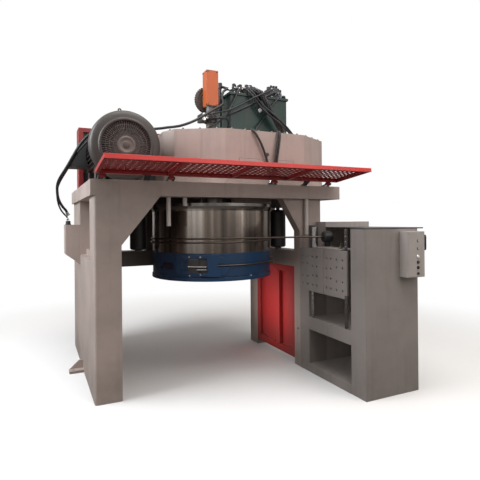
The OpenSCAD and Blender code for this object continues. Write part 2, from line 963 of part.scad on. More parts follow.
module belt_guard_panels() {
    place() color("#34302f")
        box([guard_x + guard_bar, guard_y + guard_recess, deck_top + guard_bar],
            [guard_x + guard_len - guard_bar, guard_y + guard_d - guard_recess, deck_top + guard_h - guard_bar]);
}

// Faceted cover over the gearbox
cover_outline = [
    [1187, cover_front], [2041, cover_front], [2418, 268], [2436, 425], [2436, 751], [2418, 908],
    [2041, cover_back], [1187, cover_back], [773, 896], [713, 739], [713, 437], [773, 280]
];
module gearbox_cover() {
    place() color("#b9aca6")
        translate([0, 0, deck_top])
            linear_extrude(cover_h)
                polygon(cover_outline);
}

// Oil tank: a sheet shell with its lid
module oil_tank() {
    place() color("#2f6357")
        difference() {
            box([tank_x, tank_y, cover_top], [tank_x + tank_w, tank_y + tank_d, tank_top]);
            box([tank_x + tank_wall, tank_y + tank_wall, cover_top + tank_wall],
                [tank_x + tank_w - tank_wall, tank_y + tank_d - tank_wall, tank_top + 1]);
        }
}

lid_lip = 16;
module tank_lid() {
    place() color("#28463f")
        box([tank_x - lid_lip, tank_y - lid_lip, tank_top], [tank_x + tank_w + lid_lip, tank_y + tank_d + lid_lip, tank_top + lid_h]);
}

// Valve blocks on the tank lid: place, size
valve_list = [
    [60, 60, 150, 110, 90], [240, 80, 120, 130, 120], [400, 110, 100, 100, 70], [520, 60, 130, 150, 132]
];
// A fitting from one end of a hose back to the face that holds it
module fitting(at, toward, len, r) {
    translate(at)
        rotate(toward)
            cylinder(r = r, h = len);
}

module valves_and_fittings() {
    place() color("#2c2f33") {
        for (v = valve_list)
            translate([tank_x + v[0], tank_y + v[1], tank_top + lid_h]) {
                cube([v[2], v[3], v[4]]);
                translate([v[2] / 2, v[3] / 2, v[4] - 1])
                    cylinder(r = 24, h = 40);
            }
        for (start = [hose_front_left_route[0], hose_front_right_route[0]])
            fitting(start, [-90, 0, 0], tank_y - start[1], 17);
        for (end = [hose_front_left_route[14], hose_front_right_route[14]])
            fitting(end, [180, 0, 0], end[2] - deck_top, 13);
        fitting([cable_gland[0], cable_gland[1], cable_box_z + cable_box_h], [0, 0, 0], cable_gland_h, 28);
        fitting(bundle_end, [180, 0, 0], bundle_end[2] - cover_top, 40);
        // Clamp on the column under the small motor
        difference() {
            box([drum_x - clamp_reach, drum_y - 28, clamp_z], [drum_x, drum_y + 28, clamp_z + clamp_h]);
            translate([drum_x, drum_y, clamp_z - 1])
                cylinder(r = column_r, h = clamp_h + 2);
        }
    }
}

// Grey column on the block's axis
module top_column() {
    place() color("#8b8783")
        translate([drum_x, drum_y, cover_top])
            cylinder(r = column_r, h = column_h);
}

module orange_gear_case() {
    place() color("#d9703a")
        translate([drum_x - case_w / 2, drum_y - case_w / 2, case_z])
            cube([case_w, case_w, case_h]);
}

// Small round motor flanged to the left face of the case
module top_motor() {
    place() color("#4a443f")
        translate([drum_x - case_w / 2, top_motor_y, top_motor_z])
            rotate([0, -90, 0]) {
                rotate_extrude()
                    polygon([
                        [0, 0], [top_motor_r, 0], [top_motor_r, top_motor_len - 34],
                        [top_motor_r - 14, top_motor_len - 14], [top_motor_r - 50, top_motor_len], [0, top_motor_len]
                    ]);
                for (i = [0 : 23])
                    rotate([0, 0, 15 * i])
                        translate([top_motor_r - 4, -3, 8])
                            cube([10, 6, top_motor_len - 46]);
            }
}

// Hinge lugs and rest blocks on the front beam
module walkway_hinges() {
    place() color("#3f3b39") {
        for (x = hinge_xs) {
            for (side = [-1, 1])
                along_x(x + side * (knuckle_len / 2 + 1 + lug_t / 2) - lug_t / 2, lug_t)
                    translate([hinge_y, hinge_z])
                        polygon([
                            [77, -22], [77, -14], [16, -2], [9, 8], [0, 12],
                            [-9, 8], [-12, 0], [-9, -8], [32, -22]
                        ]);
            translate([x - knuckle_len / 2 - 1 - lug_t, hinge_y, hinge_z])
                rotate([0, 90, 0])
                    cylinder(r = hinge_pin_r, h = knuckle_len + 2 + 2 * lug_t);
        }
        for (x = rest_xs)
            along_x(x - rest_w / 2, rest_w)
                polygon([
                    [28, deck_top], [28, deck_top + 8], [hinge_y + 10, hinge_z],
                    on_tilt(0, walk_bottom - gap), on_tilt(-walk_bar, walk_bottom - gap),
                    on_tilt(-walk_bar, walk_bottom - 12), [0, deck_top]
                ]);
    }
}

// A point of the tilted walkway, as a place in Y and Z
function on_tilt(y, z) = [
    hinge_y + y * cos(walk_tilt) + z * sin(walk_tilt),
    hinge_z - y * sin(walk_tilt) + z * cos(walk_tilt)
];

// Walkway in its own tilt: the hinge axis is at y = 0, z = 0
module on_walkway() {
    translate([0, hinge_y, hinge_z])
        rotate([-walk_tilt, 0, 0])
            children();
}

module walkway_frame() {
    place() color("#b02b2f")
        on_walkway() {
            difference() {
                box([walk_x, -walk_d, walk_bottom], [walk_x + walk_len, 0, walk_bottom + walk_bar]);
                for (bay = [0 : walk_bays - 1])
                    box([walk_x + walk_bar + bay * bay_len, -walk_d + walk_bar, walk_bottom - 1],
                        [walk_x + (bay + 1) * bay_len, -walk_bar, walk_bottom + walk_bar + 1]);
            }
            for (x = hinge_xs) {
                difference() {
                    union() {
                        translate([x - knuckle_len / 2, 0, 0])
                            rotate([0, 90, 0])
                                cylinder(r = knuckle_r, h = knuckle_len);
                        box([x - knuckle_len / 2, -knuckle_r, 0], [x + knuckle_len / 2, 0, walk_bottom + 1]);
                    }
                    translate([x - knuckle_len, 0, 0])
                        rotate([0, 90, 0])
                            cylinder(r = hinge_pin_r + running, h = 2 * knuckle_len);
                }
            }
        }
}

module walkway_sheet() {
    hole_rows = floor((walk_d - 2 * walk_bar - mesh_pitch) / mesh_pitch);
    hole_cols = floor((bay_len - walk_bar - mesh_pitch) / mesh_pitch);
    row_start = (walk_d - hole_rows * mesh_pitch) / 2;
    col_start = (bay_len + walk_bar - hole_cols * mesh_pitch) / 2;
    place() color("#a3262b")
        on_walkway()
            translate([walk_x, -walk_d, walk_bottom + walk_bar])
                linear_extrude(walk_sheet_t)
                    difference() {
                        square([walk_len, walk_d]);
                        for (bay = [0 : walk_bays - 1], col = [0 : hole_cols], row = [0 : hole_rows])
                            translate([bay * bay_len + col_start + col * mesh_pitch, row_start + row * mesh_pitch])
                                circle(r = mesh_hole_r, $fn = 24);
                    }
}

// Hoses
module hose_front_left() {
    place() color("#1c1c1e")
        tube(hose_front_left_route, hose_front_left_r);
}

module hose_front_right() {
    place() color("#1c1c1e")
        tube(hose_front_right_route, hose_front_right_r);
}

module hose_cross() {
    place() color("#1c1c1e")
        tube(hose_cross_route, hose_cross_r);
}

module hose_bundle() {
    place() color("#1c1c1e")
        tube(hose_bundle_route, hose_bundle_r, 10);
}

module hose_long() {
    place() color("#1c1c1e")
        tube(hose_long_route, hose_long_r);
}

left_wall();
left_wall_posts();
left_inner_plate();
cable_box();
anchor_foot();
box_gussets();
front_beam();
side_beams();
back_beam();
deck_plate();
right_leg();
right_rear_post();
right_mid_rail();
back_cross_beam();
back_strut();
hanging_rods();
side_gate();
stand_column();
stand_outer_panel();
stand_sills();
stand_rear_column();
stand_rear_box();
stand_lid();
drilled_plate();
plate_rails();
die_holder();
die_tray();
guide_roller_bracket();
guide_roller();
control_box();
control_buttons();
drum();
drum_skirt();
gripper();
tie_rod();
drum_spindle();
drawn_wire();
press_roller_hangers();
press_roller_right();
press_roller_left();
motor_body();
motor_cowl();
terminal_box();
belt_guard_frame();
belt_guard_panels();
gearbox_cover();
oil_tank();
tank_lid();
valves_and_fittings();
top_column();
orange_gear_case();
top_motor();
walkway_hinges();
walkway_frame();
walkway_sheet();
hose_front_left();
hose_front_right();
hose_cross();
hose_bundle();
hose_long();
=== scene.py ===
import math

import bpy
import numpy as np
from mathutils import Matrix, Vector


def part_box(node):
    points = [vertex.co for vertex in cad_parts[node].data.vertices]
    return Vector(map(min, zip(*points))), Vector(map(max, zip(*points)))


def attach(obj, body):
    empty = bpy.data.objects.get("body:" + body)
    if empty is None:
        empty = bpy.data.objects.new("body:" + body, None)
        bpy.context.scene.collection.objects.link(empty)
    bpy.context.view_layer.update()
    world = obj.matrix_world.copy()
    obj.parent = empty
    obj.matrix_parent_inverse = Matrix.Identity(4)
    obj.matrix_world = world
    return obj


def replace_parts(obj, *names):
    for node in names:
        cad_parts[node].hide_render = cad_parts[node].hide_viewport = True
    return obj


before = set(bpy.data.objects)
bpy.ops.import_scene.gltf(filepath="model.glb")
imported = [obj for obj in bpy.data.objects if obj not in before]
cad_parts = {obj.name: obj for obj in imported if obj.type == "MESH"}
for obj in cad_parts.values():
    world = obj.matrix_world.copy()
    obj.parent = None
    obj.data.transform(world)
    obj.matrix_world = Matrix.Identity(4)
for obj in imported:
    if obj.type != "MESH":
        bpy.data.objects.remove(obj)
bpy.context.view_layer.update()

# Camera
# The machine is seen from in front of its left end, at eye height. The camera is held level and
# rolled by under half a degree, and its shift sets how much floor the picture takes in.
eye = (-1.7045, -4.0425, 1.456)
turn_to_right = math.radians(25.3)
roll = math.radians(0.46)
camera_data = bpy.data.cameras.new("camera")
camera_data.lens = 32.475
camera_data.sensor_width = 36
camera_data.shift_y = -0.0396
camera = bpy.data.objects.new("camera", camera_data)
camera.matrix_world = (
    Matrix.Translation(eye)
    @ Matrix.Rotation(-turn_to_right, 4, "Z")
    @ Matrix.Rotation(math.pi / 2, 4, "X")
    @ Matrix.Rotation(-roll, 4, "Z")
)
bpy.context.scene.collection.objects.link(camera)
bpy.context.scene.camera = camera
bpy.context.scene.view_settings.view_transform = "Standard"

# Studio
# A floor runs out to white under a broad overhead light, with a strong cool light from the left
# and a dim warm fill. Bright metal sees soft upright strips of a yard, and the camera sees white.


def add(tree, kind, place, **settings):
    """A node of that kind in the tree. Settings that name an input set its value or take its link,
    and the others set the node's own properties."""
    new = tree.nodes.new("ShaderNode" + kind)
    new.location = (place[0] * 200, -place[1] * 180)
    for key, value in settings.items():
        name = key.replace("_", " ").title() if key not in new.inputs else key
        if key.startswith("in_"):
            socket = new.inputs[int(key[3:])]
        elif name in new.inputs:
            socket = new.inputs[name]
        else:
            setattr(new, key, value)
            continue
        if isinstance(value, bpy.types.NodeSocket):
            tree.links.new(value, socket)
        else:
            socket.default_value = value
    return new


def remap(tree, place, value, low, high, to_low=0.0, to_high=1.0, **settings):
    """A map-range node that takes value from low..high to to_low..to_high, held at both ends."""
    new = add(tree, "MapRange", place, Value=value, **settings)
    for label, number in (("From Min", low), ("From Max", high), ("To Min", to_low), ("To Max", to_high)):
        new.inputs[label].default_value = number
    return new.outputs["Result"]


def calculate(tree, place, operation, *values):
    """A math node of that operation on the values, each a number or a socket."""
    inputs = {f"in_{i}": value for i, value in enumerate(values)}
    return add(tree, "Math", place, operation=operation, **inputs).outputs["Value"]


def blank_material(name):
    """A new material and its node tree, emptied."""
    made = bpy.data.materials.new(name)
    made.use_nodes = True
    made.node_tree.nodes.clear()
    return made, made.node_tree


floor_data = bpy.data.meshes.new("floor")
floor_data.from_pydata([(-40, -40, 0), (40, -40, 0), (40, 40, 0), (-40, 40, 0)], [], [(0, 1, 2, 3)])
floor = bpy.data.objects.new("floor", floor_data)
bpy.context.scene.collection.objects.link(floor)
floor_finish, tree = blank_material("pale_floor")
where = add(tree, "TexCoord", (0, 0))
away = add(tree, "VectorMath", (1, 0), operation="LENGTH", in_0=where.outputs["Object"])
fade = remap(tree, (2, 0), away.outputs["Value"], 2.4, 5.0, interpolation_type="SMOOTHSTEP")
rays = add(tree, "LightPath", (1, 2))
seen = calculate(tree, (3, 1), "MULTIPLY", fade, rays.outputs["Is Camera Ray"])
paving = add(tree, "BsdfDiffuse", (3, 0), Color=(0.86, 0.86, 0.86, 1))
asphalt = add(tree, "BsdfDiffuse", (3, 3), Color=(0.17, 0.16, 0.15, 1))
ground = add(tree, "MixShader", (4, 2), in_0=rays.outputs["Is Camera Ray"],
             in_1=asphalt.outputs["BSDF"], in_2=paving.outputs["BSDF"])
white = add(tree, "Emission", (3, 2), Color=(1, 1, 1, 1), Strength=1.0)
mixed = add(tree, "MixShader", (5, 0), in_0=seen, in_1=ground.outputs["Shader"], in_2=white.outputs["Emission"])
add(tree, "OutputMaterial", (6, 0), Surface=mixed.outputs["Shader"])
floor_data.materials.append(floor_finish)

world = bpy.data.worlds.new("surround")
bpy.context.scene.world = world
world.use_nodes = True
tree = world.node_tree
tree.nodes.clear()
rays = add(tree, "LightPath", (0, 0))
shown = calculate(tree, (1, 0), "MAXIMUM", rays.outputs["Is Camera Ray"], rays.outputs["Is Transmission Ray"])
toward = add(tree, "TexCoord", (0, 2))
split = add(tree, "SeparateXYZ", (1, 2), Vector=toward.outputs["Generated"])
bearing = calculate(tree, (2, 2), "ARCTAN2", split.outputs["Y"], split.outputs["X"])
strips = add(tree, "TexNoise", (3, 2), noise_dimensions="1D", W=bearing, Scale=5.5, Detail=4.0, Roughness=0.75)
yard = remap(tree, (4, 2), strips.outputs["Fac"], 0.38, 0.66, 0.02, 1.0)
sky = remap(tree, (4, 3), split.outputs["Z"], 0.20, 0.55, interpolation_type="SMOOTHSTEP")
mirrored = add(tree, "Mix", (5, 2), data_type="FLOAT", in_0=sky, in_2=yard, in_3=0.95)
fill = remap(tree, (4, 4), split.outputs["Z"], -0.1, 0.9, 0.16, 0.62)
level = add(tree, "Mix", (6, 2), data_type="FLOAT", in_0=rays.outputs["Is Glossy Ray"], in_2=fill,
            in_3=mirrored.outputs[0])
surround = add(tree, "Background", (7, 1), Color=(1, 0.955, 0.92, 1), Strength=level.outputs[0])
plain_white = add(tree, "Background", (7, 2), Color=(1, 1, 1, 1), Strength=1.0)
mixed = add(tree, "MixShader", (8, 0), in_0=shown, in_1=surround.outputs["Background"],
            in_2=plain_white.outputs["Background"])
add(tree, "OutputWorld", (9, 0), Surface=mixed.outputs["Shader"])

gate = (np.array(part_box("side_gate")[0]) + np.array(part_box("side_gate")[1])) / 2
for name, place, aim, size, watts, colour in (
    ("lamp_left", (-4.3, -0.1, 3.5), (-1.0, 0, 2.0), 2.6, 200, (0.92, 0.96, 1.0)),
    ("lamp_over", (0.5, -2.2, 7.5), (0, -0.2, 1.5), 5.0, 330, (1.0, 0.98, 0.95)),
    ("lamp_front", (2.5, -6.0, 4.0), (0.4, 0, 1.9), 4.0, 88, (1.0, 0.94, 0.90)),
    ("lamp_low", gate + (-0.75, 0.05, -0.05), gate, 0.5, 1.4, (1.0, 0.93, 0.88)),
):
    lamp_data = bpy.data.lights.new(name, "AREA")
    lamp_data.size = size
    lamp_data.energy = watts
    lamp_data.color = colour
    lamp_data.spread = math.radians(80 if name == "lamp_low" else 180)
    lamp = bpy.data.objects.new(name, lamp_data)
    lamp.rotation_mode = "QUATERNION"
    lamp.rotation_quaternion = (Vector(aim) - Vector(place)).to_track_quat("-Z", "Y")
    lamp.location = place
    lamp.visible_camera = False
    bpy.context.scene.collection.objects.link(lamp)

# Machine paint
# Welded plate in warm grey machine paint. It has a faint orange peel, lies a little thin over
# rounded edges, and carries dust in patches and grime near the floor.


def group(name, ins, outs):
    """An empty shader group with those named inputs, each with its start value, and outputs."""
    new = bpy.data.node_groups.new(name, "ShaderNodeTree")
    for label, kind, start in ins:
        new.interface.new_socket(label, in_out="INPUT", socket_type=kind).default_value = start
    for label, kind in outs:
        new.interface.new_socket(label, in_out="OUTPUT", socket_type=kind)
    return new, new.nodes.new("NodeGroupInput"), new.nodes.new("NodeGroupOutput")


# Worn edges: where a rounded normal turns away from the flat one, broken up by noise
worn_edges, given, result = group(
    "worn_edges",
    [("Radius", "NodeSocketFloat", 0.004), ("Amount", "NodeSocketFloat", 0.5)],
    [("Mask", "NodeSocketFloat"), ("Normal", "NodeSocketVector")])
rounded = add(worn_edges, "Bevel", (1, 0), samples=6, Radius=given.outputs["Radius"])
flat = add(worn_edges, "NewGeometry", (1, 1))
turned_away = add(worn_edges, "VectorMath", (2, 0), operation="DOT_PRODUCT",
                  in_0=rounded.outputs["Normal"], in_1=flat.outputs["Normal"])
bent = remap(worn_edges, (3, 0), turned_away.outputs["Value"], 0.985, 0.86)
where = add(worn_edges, "TexCoord", (1, 2))
patches = add(worn_edges, "TexNoise", (2, 2), Vector=where.outputs["Object"], Scale=14.0, Detail=5.0)
chance = remap(worn_edges, (3, 2), patches.outputs["Fac"], 0.46, 0.60)
broken = calculate(worn_edges, (4, 0), "MULTIPLY", bent, chance)
scaled = calculate(worn_edges, (5, 0), "MULTIPLY", broken, given.outputs["Amount"])
worn_edges.links.new(scaled, result.inputs["Mask"])
worn_edges.links.new(rounded.outputs["Normal"], result.inputs["Normal"])

# Grime: patches of dust, thin runs down the walls, and more of both near the floor
grime, given, result = group(
    "grime",
    [("Dust", "NodeSocketFloat", 0.4), ("Runs", "NodeSocketFloat", 0.3)],
    [("Mask", "NodeSocketFloat"), ("Uneven", "NodeSocketFloat")])
where = add(grime, "TexCoord", (0, 0))
clouds = add(grime, "TexNoise", (1, 0), Vector=where.outputs["Object"], Scale=1.7, Detail=6.0, Roughness=0.62)
cloud_cut = remap(grime, (2, 0), clouds.outputs["Fac"], 0.45, 0.75)
long_in_z = add(grime, "Mapping", (1, 1), Vector=where.outputs["Object"], Scale=(9, 9, 0.55))
streaks = add(grime, "TexNoise", (2, 1), Vector=long_in_z.outputs["Vector"], Scale=1.6, Detail=7.0, Roughness=0.6)
streak_cut = remap(grime, (3, 1), streaks.outputs["Fac"], 0.52, 0.74)
split = add(grime, "SeparateXYZ", (1, 2), Vector=where.outputs["Object"])
low_down = remap(grime, (2, 2), split.outputs["Z"], 0.55, 0.0, interpolation_type="SMOOTHSTEP")
dusty = calculate(grime, (4, 0), "MULTIPLY", cloud_cut, given.outputs["Dust"])
running = calculate(grime, (4, 1), "MULTIPLY", streak_cut, given.outputs["Runs"])
both = calculate(grime, (5, 0), "ADD", dusty, running)
floor_grime = calculate(grime, (4, 2), "MULTIPLY", low_down, clouds.outputs["Fac"])
total = add(grime, "Math", (6, 0), operation="MULTIPLY_ADD", in_0=floor_grime,
            in_1=given.outputs["Dust"], in_2=both, use_clamp=True)
grime.links.new(total.outputs["Value"], result.inputs["Mask"])
grime.links.new(clouds.outputs["Fac"], result.inputs["Uneven"])


def painted(name, colour, shade, dirt=(0.17, 0.145, 0.125), bare=(0.27, 0.25, 0.23),
            roughness=0.45, dust=0.35, runs=0.25, wear=0.6, peel=0.35, edge=0.004):
    """Paint on metal: colour turns to shade in clouds, dirt lies over it, and edges wear to bare."""
    made, tree = blank_material(name)
    dirt_on = add(tree, "Group", (0, 0), node_tree=grime)
    dirt_on.inputs["Dust"].default_value = dust
    dirt_on.inputs["Runs"].default_value = runs
    edges = add(tree, "Group", (0, 2), node_tree=worn_edges)
    edges.inputs["Radius"].default_value = edge
    edges.inputs["Amount"].default_value = wear
    coat = add(tree, "Mix", (1, 0), data_type="RGBA", in_0=dirt_on.outputs["Uneven"],
               in_6=(*colour, 1), in_7=(*shade, 1))
    soiled = add(tree, "Mix", (2, 0), data_type="RGBA", in_0=dirt_on.outputs["Mask"],
                 in_6=coat.outputs[2], in_7=(*dirt, 1))
    chipped = add(tree, "Mix", (3, 0), data_type="RGBA", in_0=edges.outputs["Mask"],
                  in_6=soiled.outputs[2], in_7=(*bare, 1))
    rough = remap(tree, (2, 1), dirt_on.outputs["Uneven"], 0, 1, roughness - 0.08, roughness + 0.14)
    where = add(tree, "TexCoord", (0, 3))
    orange_peel = add(tree, "TexNoise", (1, 3), Vector=where.outputs["Object"], Scale=160.0, Detail=2.0)
    bump = add(tree, "Bump", (2, 3), Strength=peel, Distance=0.0006,
               Height=orange_peel.outputs["Fac"], Normal=edges.outputs["Normal"])
    skin = add(tree, "BsdfPrincipled", (4, 0), Roughness=rough, Normal=bump.outputs["Normal"])
    tree.links.new(chipped.outputs[2], skin.inputs["Base Color"])
    add(tree, "OutputMaterial", (5, 0), Surface=skin.outputs["BSDF"])
    return made


def finish_nodes(material, *names):
    """Gives CAD nodes that material in place of their own."""
    for name in names:
        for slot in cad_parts[name].material_slots:
            slot.material = material


beige = painted("beige_paint", (0.50, 0.41, 0.37), (0.43, 0.355, 0.325))
finish_nodes(beige, "left_wall", "left_wall_posts", "left_inner_plate", "cable_box", "anchor_foot",
             "box_gussets", "front_beam", "side_beams", "deck_plate", "right_leg",
             "right_rear_post", "right_mid_rail", "gearbox_cover")
# The hanging rods get a paler copy of the beige: painted light, as they lie in shade behind the front beam.
lit_beige = painted("rod_paint", (0.78, 0.72, 0.68), (0.68, 0.63, 0.60), dust=0.2)
finish_nodes(lit_beige, "hanging_rods")
# The stand's paint is the box paint darkened to about two thirds: painted shade for its shaded front.
shaded_stand_grey = painted("stand_paint", (0.345, 0.305, 0.285), (0.295, 0.265, 0.25))
finish_nodes(shaded_stand_grey, "stand_column", "stand_outer_panel", "stand_sills", "stand_rear_column",
             "drilled_plate", "die_tray")
box_paint = painted("box_paint", (0.50, 0.455, 0.43), (0.43, 0.39, 0.37))
finish_nodes(box_paint, "stand_rear_box", "control_box")
grey = painted("grey_paint", (0.17, 0.152, 0.14), (0.13, 0.118, 0.11), roughness=0.42)
# The back cross beam takes this grey as painted shade: it lies in deep shade under the deck.
finish_nodes(grey, "back_strut", "press_roller_hangers", "motor_body", "guide_roller_bracket", "top_column",
             "back_cross_beam")
dark = painted("dark_paint", (0.045, 0.045, 0.05), (0.03, 0.03, 0.032), dirt=(0.12, 0.11, 0.10), roughness=0.5)
# The back beam takes this dark paint as painted shade: it lies in deep shade under the deck.
finish_nodes(dark, "stand_lid", "terminal_box", "walkway_hinges", "belt_guard_panels", "back_beam")
red = painted("red_paint", (0.46, 0.026, 0.028), (0.38, 0.020, 0.022), dirt=(0.20, 0.08, 0.07), roughness=0.40)
finish_nodes(red, "side_gate", "walkway_frame")
guard_red = painted("guard_paint", (0.29, 0.020, 0.021), (0.24, 0.016, 0.017), dirt=(0.16, 0.07, 0.06))
finish_nodes(guard_red, "belt_guard_frame")
blue = painted("blue_paint", (0.015, 0.062, 0.155), (0.011, 0.047, 0.12), dirt=(0.06, 0.07, 0.085), roughness=0.34)
finish_nodes(blue, "drum_skirt", "gripper")
green = painted("green_paint", (0.007, 0.040, 0.032), (0.005, 0.030, 0.025), dirt=(0.05, 0.06, 0.05), roughness=0.36)
finish_nodes(green, "oil_tank", "tank_lid")
orange = painted("orange_paint", (0.62, 0.135, 0.036), (0.54, 0.115, 0.030), dirt=(0.28, 0.13, 0.08), roughness=0.40)
finish_nodes(orange, "orange_gear_case")
casting = painted("dark_casting", (0.055, 0.042, 0.035), (0.04, 0.032, 0.028), dirt=(0.16, 0.11, 0.09),
                  roughness=0.38)
finish_nodes(casting, "top_motor")
plastic = painted("black_plastic", (0.02, 0.02, 0.022), (0.014, 0.014, 0.016), dirt=(0.07, 0.07, 0.07),
                  roughness=0.42, wear=0.15)
finish_nodes(plastic, "die_holder")
rubber = painted("rubber", (0.016, 0.015, 0.017), (0.012, 0.012, 0.014), dirt=(0.07, 0.065, 0.06),
                 roughness=0.45, wear=0.1)
finish_nodes(rubber, "press_roller_right", "press_roller_left")


def bare_metal(name, colour, roughness, brushed=0.25, streak=(1, 1, 60)):
    """Bare metal with uneven polish: the roughness and a fine bump follow noise drawn out along streak."""
    made, tree = blank_material(name)
    where = add(tree, "TexCoord", (0, 0))
    drawn = add(tree, "Mapping", (1, 0), Vector=where.outputs["Object"], Scale=streak)
    lines = add(tree, "TexNoise", (2, 0), Vector=drawn.outputs["Vector"], Scale=9.0, Detail=5.0)
    smears = add(tree, "TexNoise", (2, 1), Vector=where.outputs["Object"], Scale=5.0, Detail=4.0)
    rough = remap(tree, (3, 1), smears.outputs["Fac"], 0.3, 0.7, roughness * 0.8, roughness * 1.5)
    bump = add(tree, "Bump", (3, 0), Strength=brushed, Distance=0.0004, Height=lines.outputs["Fac"])
    tone = add(tree, "Mix", (3, 2), data_type="RGBA", in_0=smears.outputs["Fac"],
               in_6=(*colour, 1), in_7=(*[0.78 * c for c in colour], 1))
    skin = add(tree, "BsdfPrincipled", (4, 0), Metallic=1.0, Roughness=rough, Normal=bump.outputs["Normal"])
    tree.links.new(tone.outputs[2], skin.inputs["Base Color"])
    add(tree, "OutputMaterial", (5, 0), Surface=skin.outputs["BSDF"])
    return made


plated = bare_metal("bright_plating", (0.80, 0.80, 0.82), 0.16)
finish_nodes(plated, "guide_roller", "plate_rails")
turned_steel = bare_metal("turned_steel", (0.42, 0.40, 0.38), 0.30)
finish_nodes(turned_steel, "drum_spindle")
wire_steel = bare_metal("wire_steel", (0.16, 0.135, 0.115), 0.36)
finish_nodes(wire_steel, "tie_rod", "drawn_wire")

# Die stand trim
# The stand is folded sheet on a flat bar at the floor. A weld runs level with its middle sill, a dark
# disc of painted shade stands for the drilled hole in the leg, and a bolt stands on the tray.
machine_corner = np.array([0.025, 0, 0]) - np.array(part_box("left_wall")[0])


def spot(x, y, z):
    """A place in the frame, in metres, from millimetres in the CAD source's own axes."""
    return np.array([x, y, z]) / 1000 - machine_corner


def outward(points, faces):
    """The faces of a part that bulges outwards everywhere, each turned to look away from its middle."""
    middle = points.mean(axis=0)
    kept = []
    for face in faces:
        a, b, c = (points[i] for i in face[:3])
        away = np.dot(np.cross(b - a, c - b), points[face].mean(axis=0) - middle)
        kept.append(face if away > 0 else face[::-1])
    return kept


def block(low, high, chamfer=0.002):
    """A box with its edges cut at 45 degrees. Each corner has three points: the one on the face across
    axis k is the corner moved in by the chamfer along the other two axes."""
    low, high = np.array(low, float), np.array(high, float)
    half = (high - low) / 2
    cut = min(chamfer, 0.45 * half.min())
    signs = np.array([(x, y, z) for x in (-1, 1) for y in (-1, 1) for z in (-1, 1)])
    inset = np.array([[cut * (k != axis) for k in range(3)] for axis in range(3)])
    points = ((low + high) / 2 + signs[:, None, :] * (half - inset[None, :, :])).reshape(-1, 3)

    def corner(**sign):
        """The number of the corner with those signs, given as s0, s1 and s2."""
        return 4 * (sign["s0"] > 0) + 2 * (sign["s1"] > 0) + (sign["s2"] > 0)

    faces = [[3 * i, 3 * i + 1, 3 * i + 2] for i in range(8)]
    for k in range(3):
        a, b = (j for j in range(3) if j != k)
        for side in (-1, 1):
            ring = ((-1, -1), (1, -1), (1, 1), (-1, 1))
            faces.append([3 * corner(**{f"s{k}": side, f"s{a}": p, f"s{b}": q}) + k for p, q in ring])
            for other in (-1, 1):
                first = corner(**{f"s{k}": -1, f"s{a}": side, f"s{b}": other})
                last = corner(**{f"s{k}": 1, f"s{a}": side, f"s{b}": other})
                faces.append([3 * first + a, 3 * first + b, 3 * last + b, 3 * last + a])
    return points, outward(points, faces)


def turned(profile, foot, along, steps=32, closed=False):
    """A profile of (radius, height) turned round a line: the point at angle a is
    foot + height * along + radius * (cos a * side + sin a * other), with side and other square to along.
    An open profile rises outside the line and gets a flat cap at each end. A closed one makes a ring."""
    along = np.array(along, float) / np.linalg.norm(along)
    side = np.cross(along, (0, 0, 1) if abs(along[2]) < 0.9 else (0, 1, 0))
    side /= np.linalg.norm(side)
    other = np.cross(along, side)
    turn = np.linspace(0, 2 * math.pi, steps, endpoint=False)[:, None]
    circle = np.cos(turn) * side + np.sin(turn) * other
    profile = np.array(profile, float)
    points = np.array(foot) + profile[:, 1, None, None] * along + profile[:, 0, None, None] * circle
    rows = len(profile)
    faces = []
    for row in range(rows if closed else rows - 1):
        below, above = row * steps, (row + 1) % rows * steps
        for k in range(steps):
            after = (k + 1) % steps
            faces.append([below + k, below + after, above + after, above + k])
    if not closed:
        faces.append(list(range(steps))[::-1])
        faces.append([(rows - 1) * steps + k for k in range(steps)])
    return points.reshape(-1, 3), faces


def rod(start, end, radius, steps=20):
    """A straight round rod with its end edges broken."""
    reach = np.linalg.norm(np.array(end) - np.array(start))
    broken = min(0.12 * radius, 0.2 * reach)
    profile = [(radius - broken, 0), (radius, broken), (radius, reach - broken), (radius - broken, reach)]
    return turned(profile, start, np.array(end) - np.array(start), steps)


def hex_bolt(foot, along, across=0.024):
    """A washer and a hexagonal head of that width across its flats, standing on foot."""
    along = np.array(along, float)
    corner = across / math.sqrt(3)
    thick = 0.12 * across
    washer = turned([(0.95 * across, 0), (0.95 * across, thick)], foot, along, 24)
    head = [(0.96 * corner, 0), (corner, 0.06 * across), (corner, 0.48 * across), (0.84 * corner, 0.62 * across)]
    return [washer, turned(head, np.array(foot) + thick * along, along, 6)]


def piece(name, body, materials, parts):
    """One mesh that rides on a body, from parts. A part is (points, faces), or those and the number of
    its material among the materials."""
    points, faces, kinds, start = [], [], [], 0
    for part in parts:
        points.append(part[0])
        faces += [[start + i for i in face] for face in part[1]]
        kinds += [part[2] if len(part) > 2 else 0] * len(part[1])
        start += len(part[0])
    data = bpy.data.meshes.new(name)
    data.from_pydata(np.vstack(points).tolist(), [], faces)
    for material in materials:
        data.materials.append(material)
    data.polygons.foreach_set("material_index", kinds)
    data.shade_smooth()
    data.set_sharp_from_angle(angle=math.radians(32))
    made = bpy.data.objects.new(name, data)
    bpy.context.scene.collection.objects.link(made)
    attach(made, body)
    return made


leg_face = 1990
stand_bar = block(spot(leg_face - 3, -709, 0), spot(leg_face + 2, 60, 30), 0.001)
sill_weld = rod(spot(leg_face, -95, 424), spot(leg_face, 64, 424), 0.0035, 12)
piece("stand_trim", "root", [shaded_stand_grey], [stand_bar, sill_weld])
# The drilled hole in the leg is a dark disc: painted shade for the hole's inside.
leg_hole_shade = rod(spot(leg_face - 1, 102, 372), spot(leg_face + 3, 102, 372), 0.011)
piece("leg_hole_shade", "root", [dark], [leg_hole_shade])
tray_spot = spot(2040, -520, 1205)
tray_bolt = hex_bolt(tray_spot, (0, 0, 1), 0.026) + [rod(tray_spot, spot(2040, -520, 1252), 0.008)]
piece("tray_bolt", "root", [wire_steel], tray_bolt)

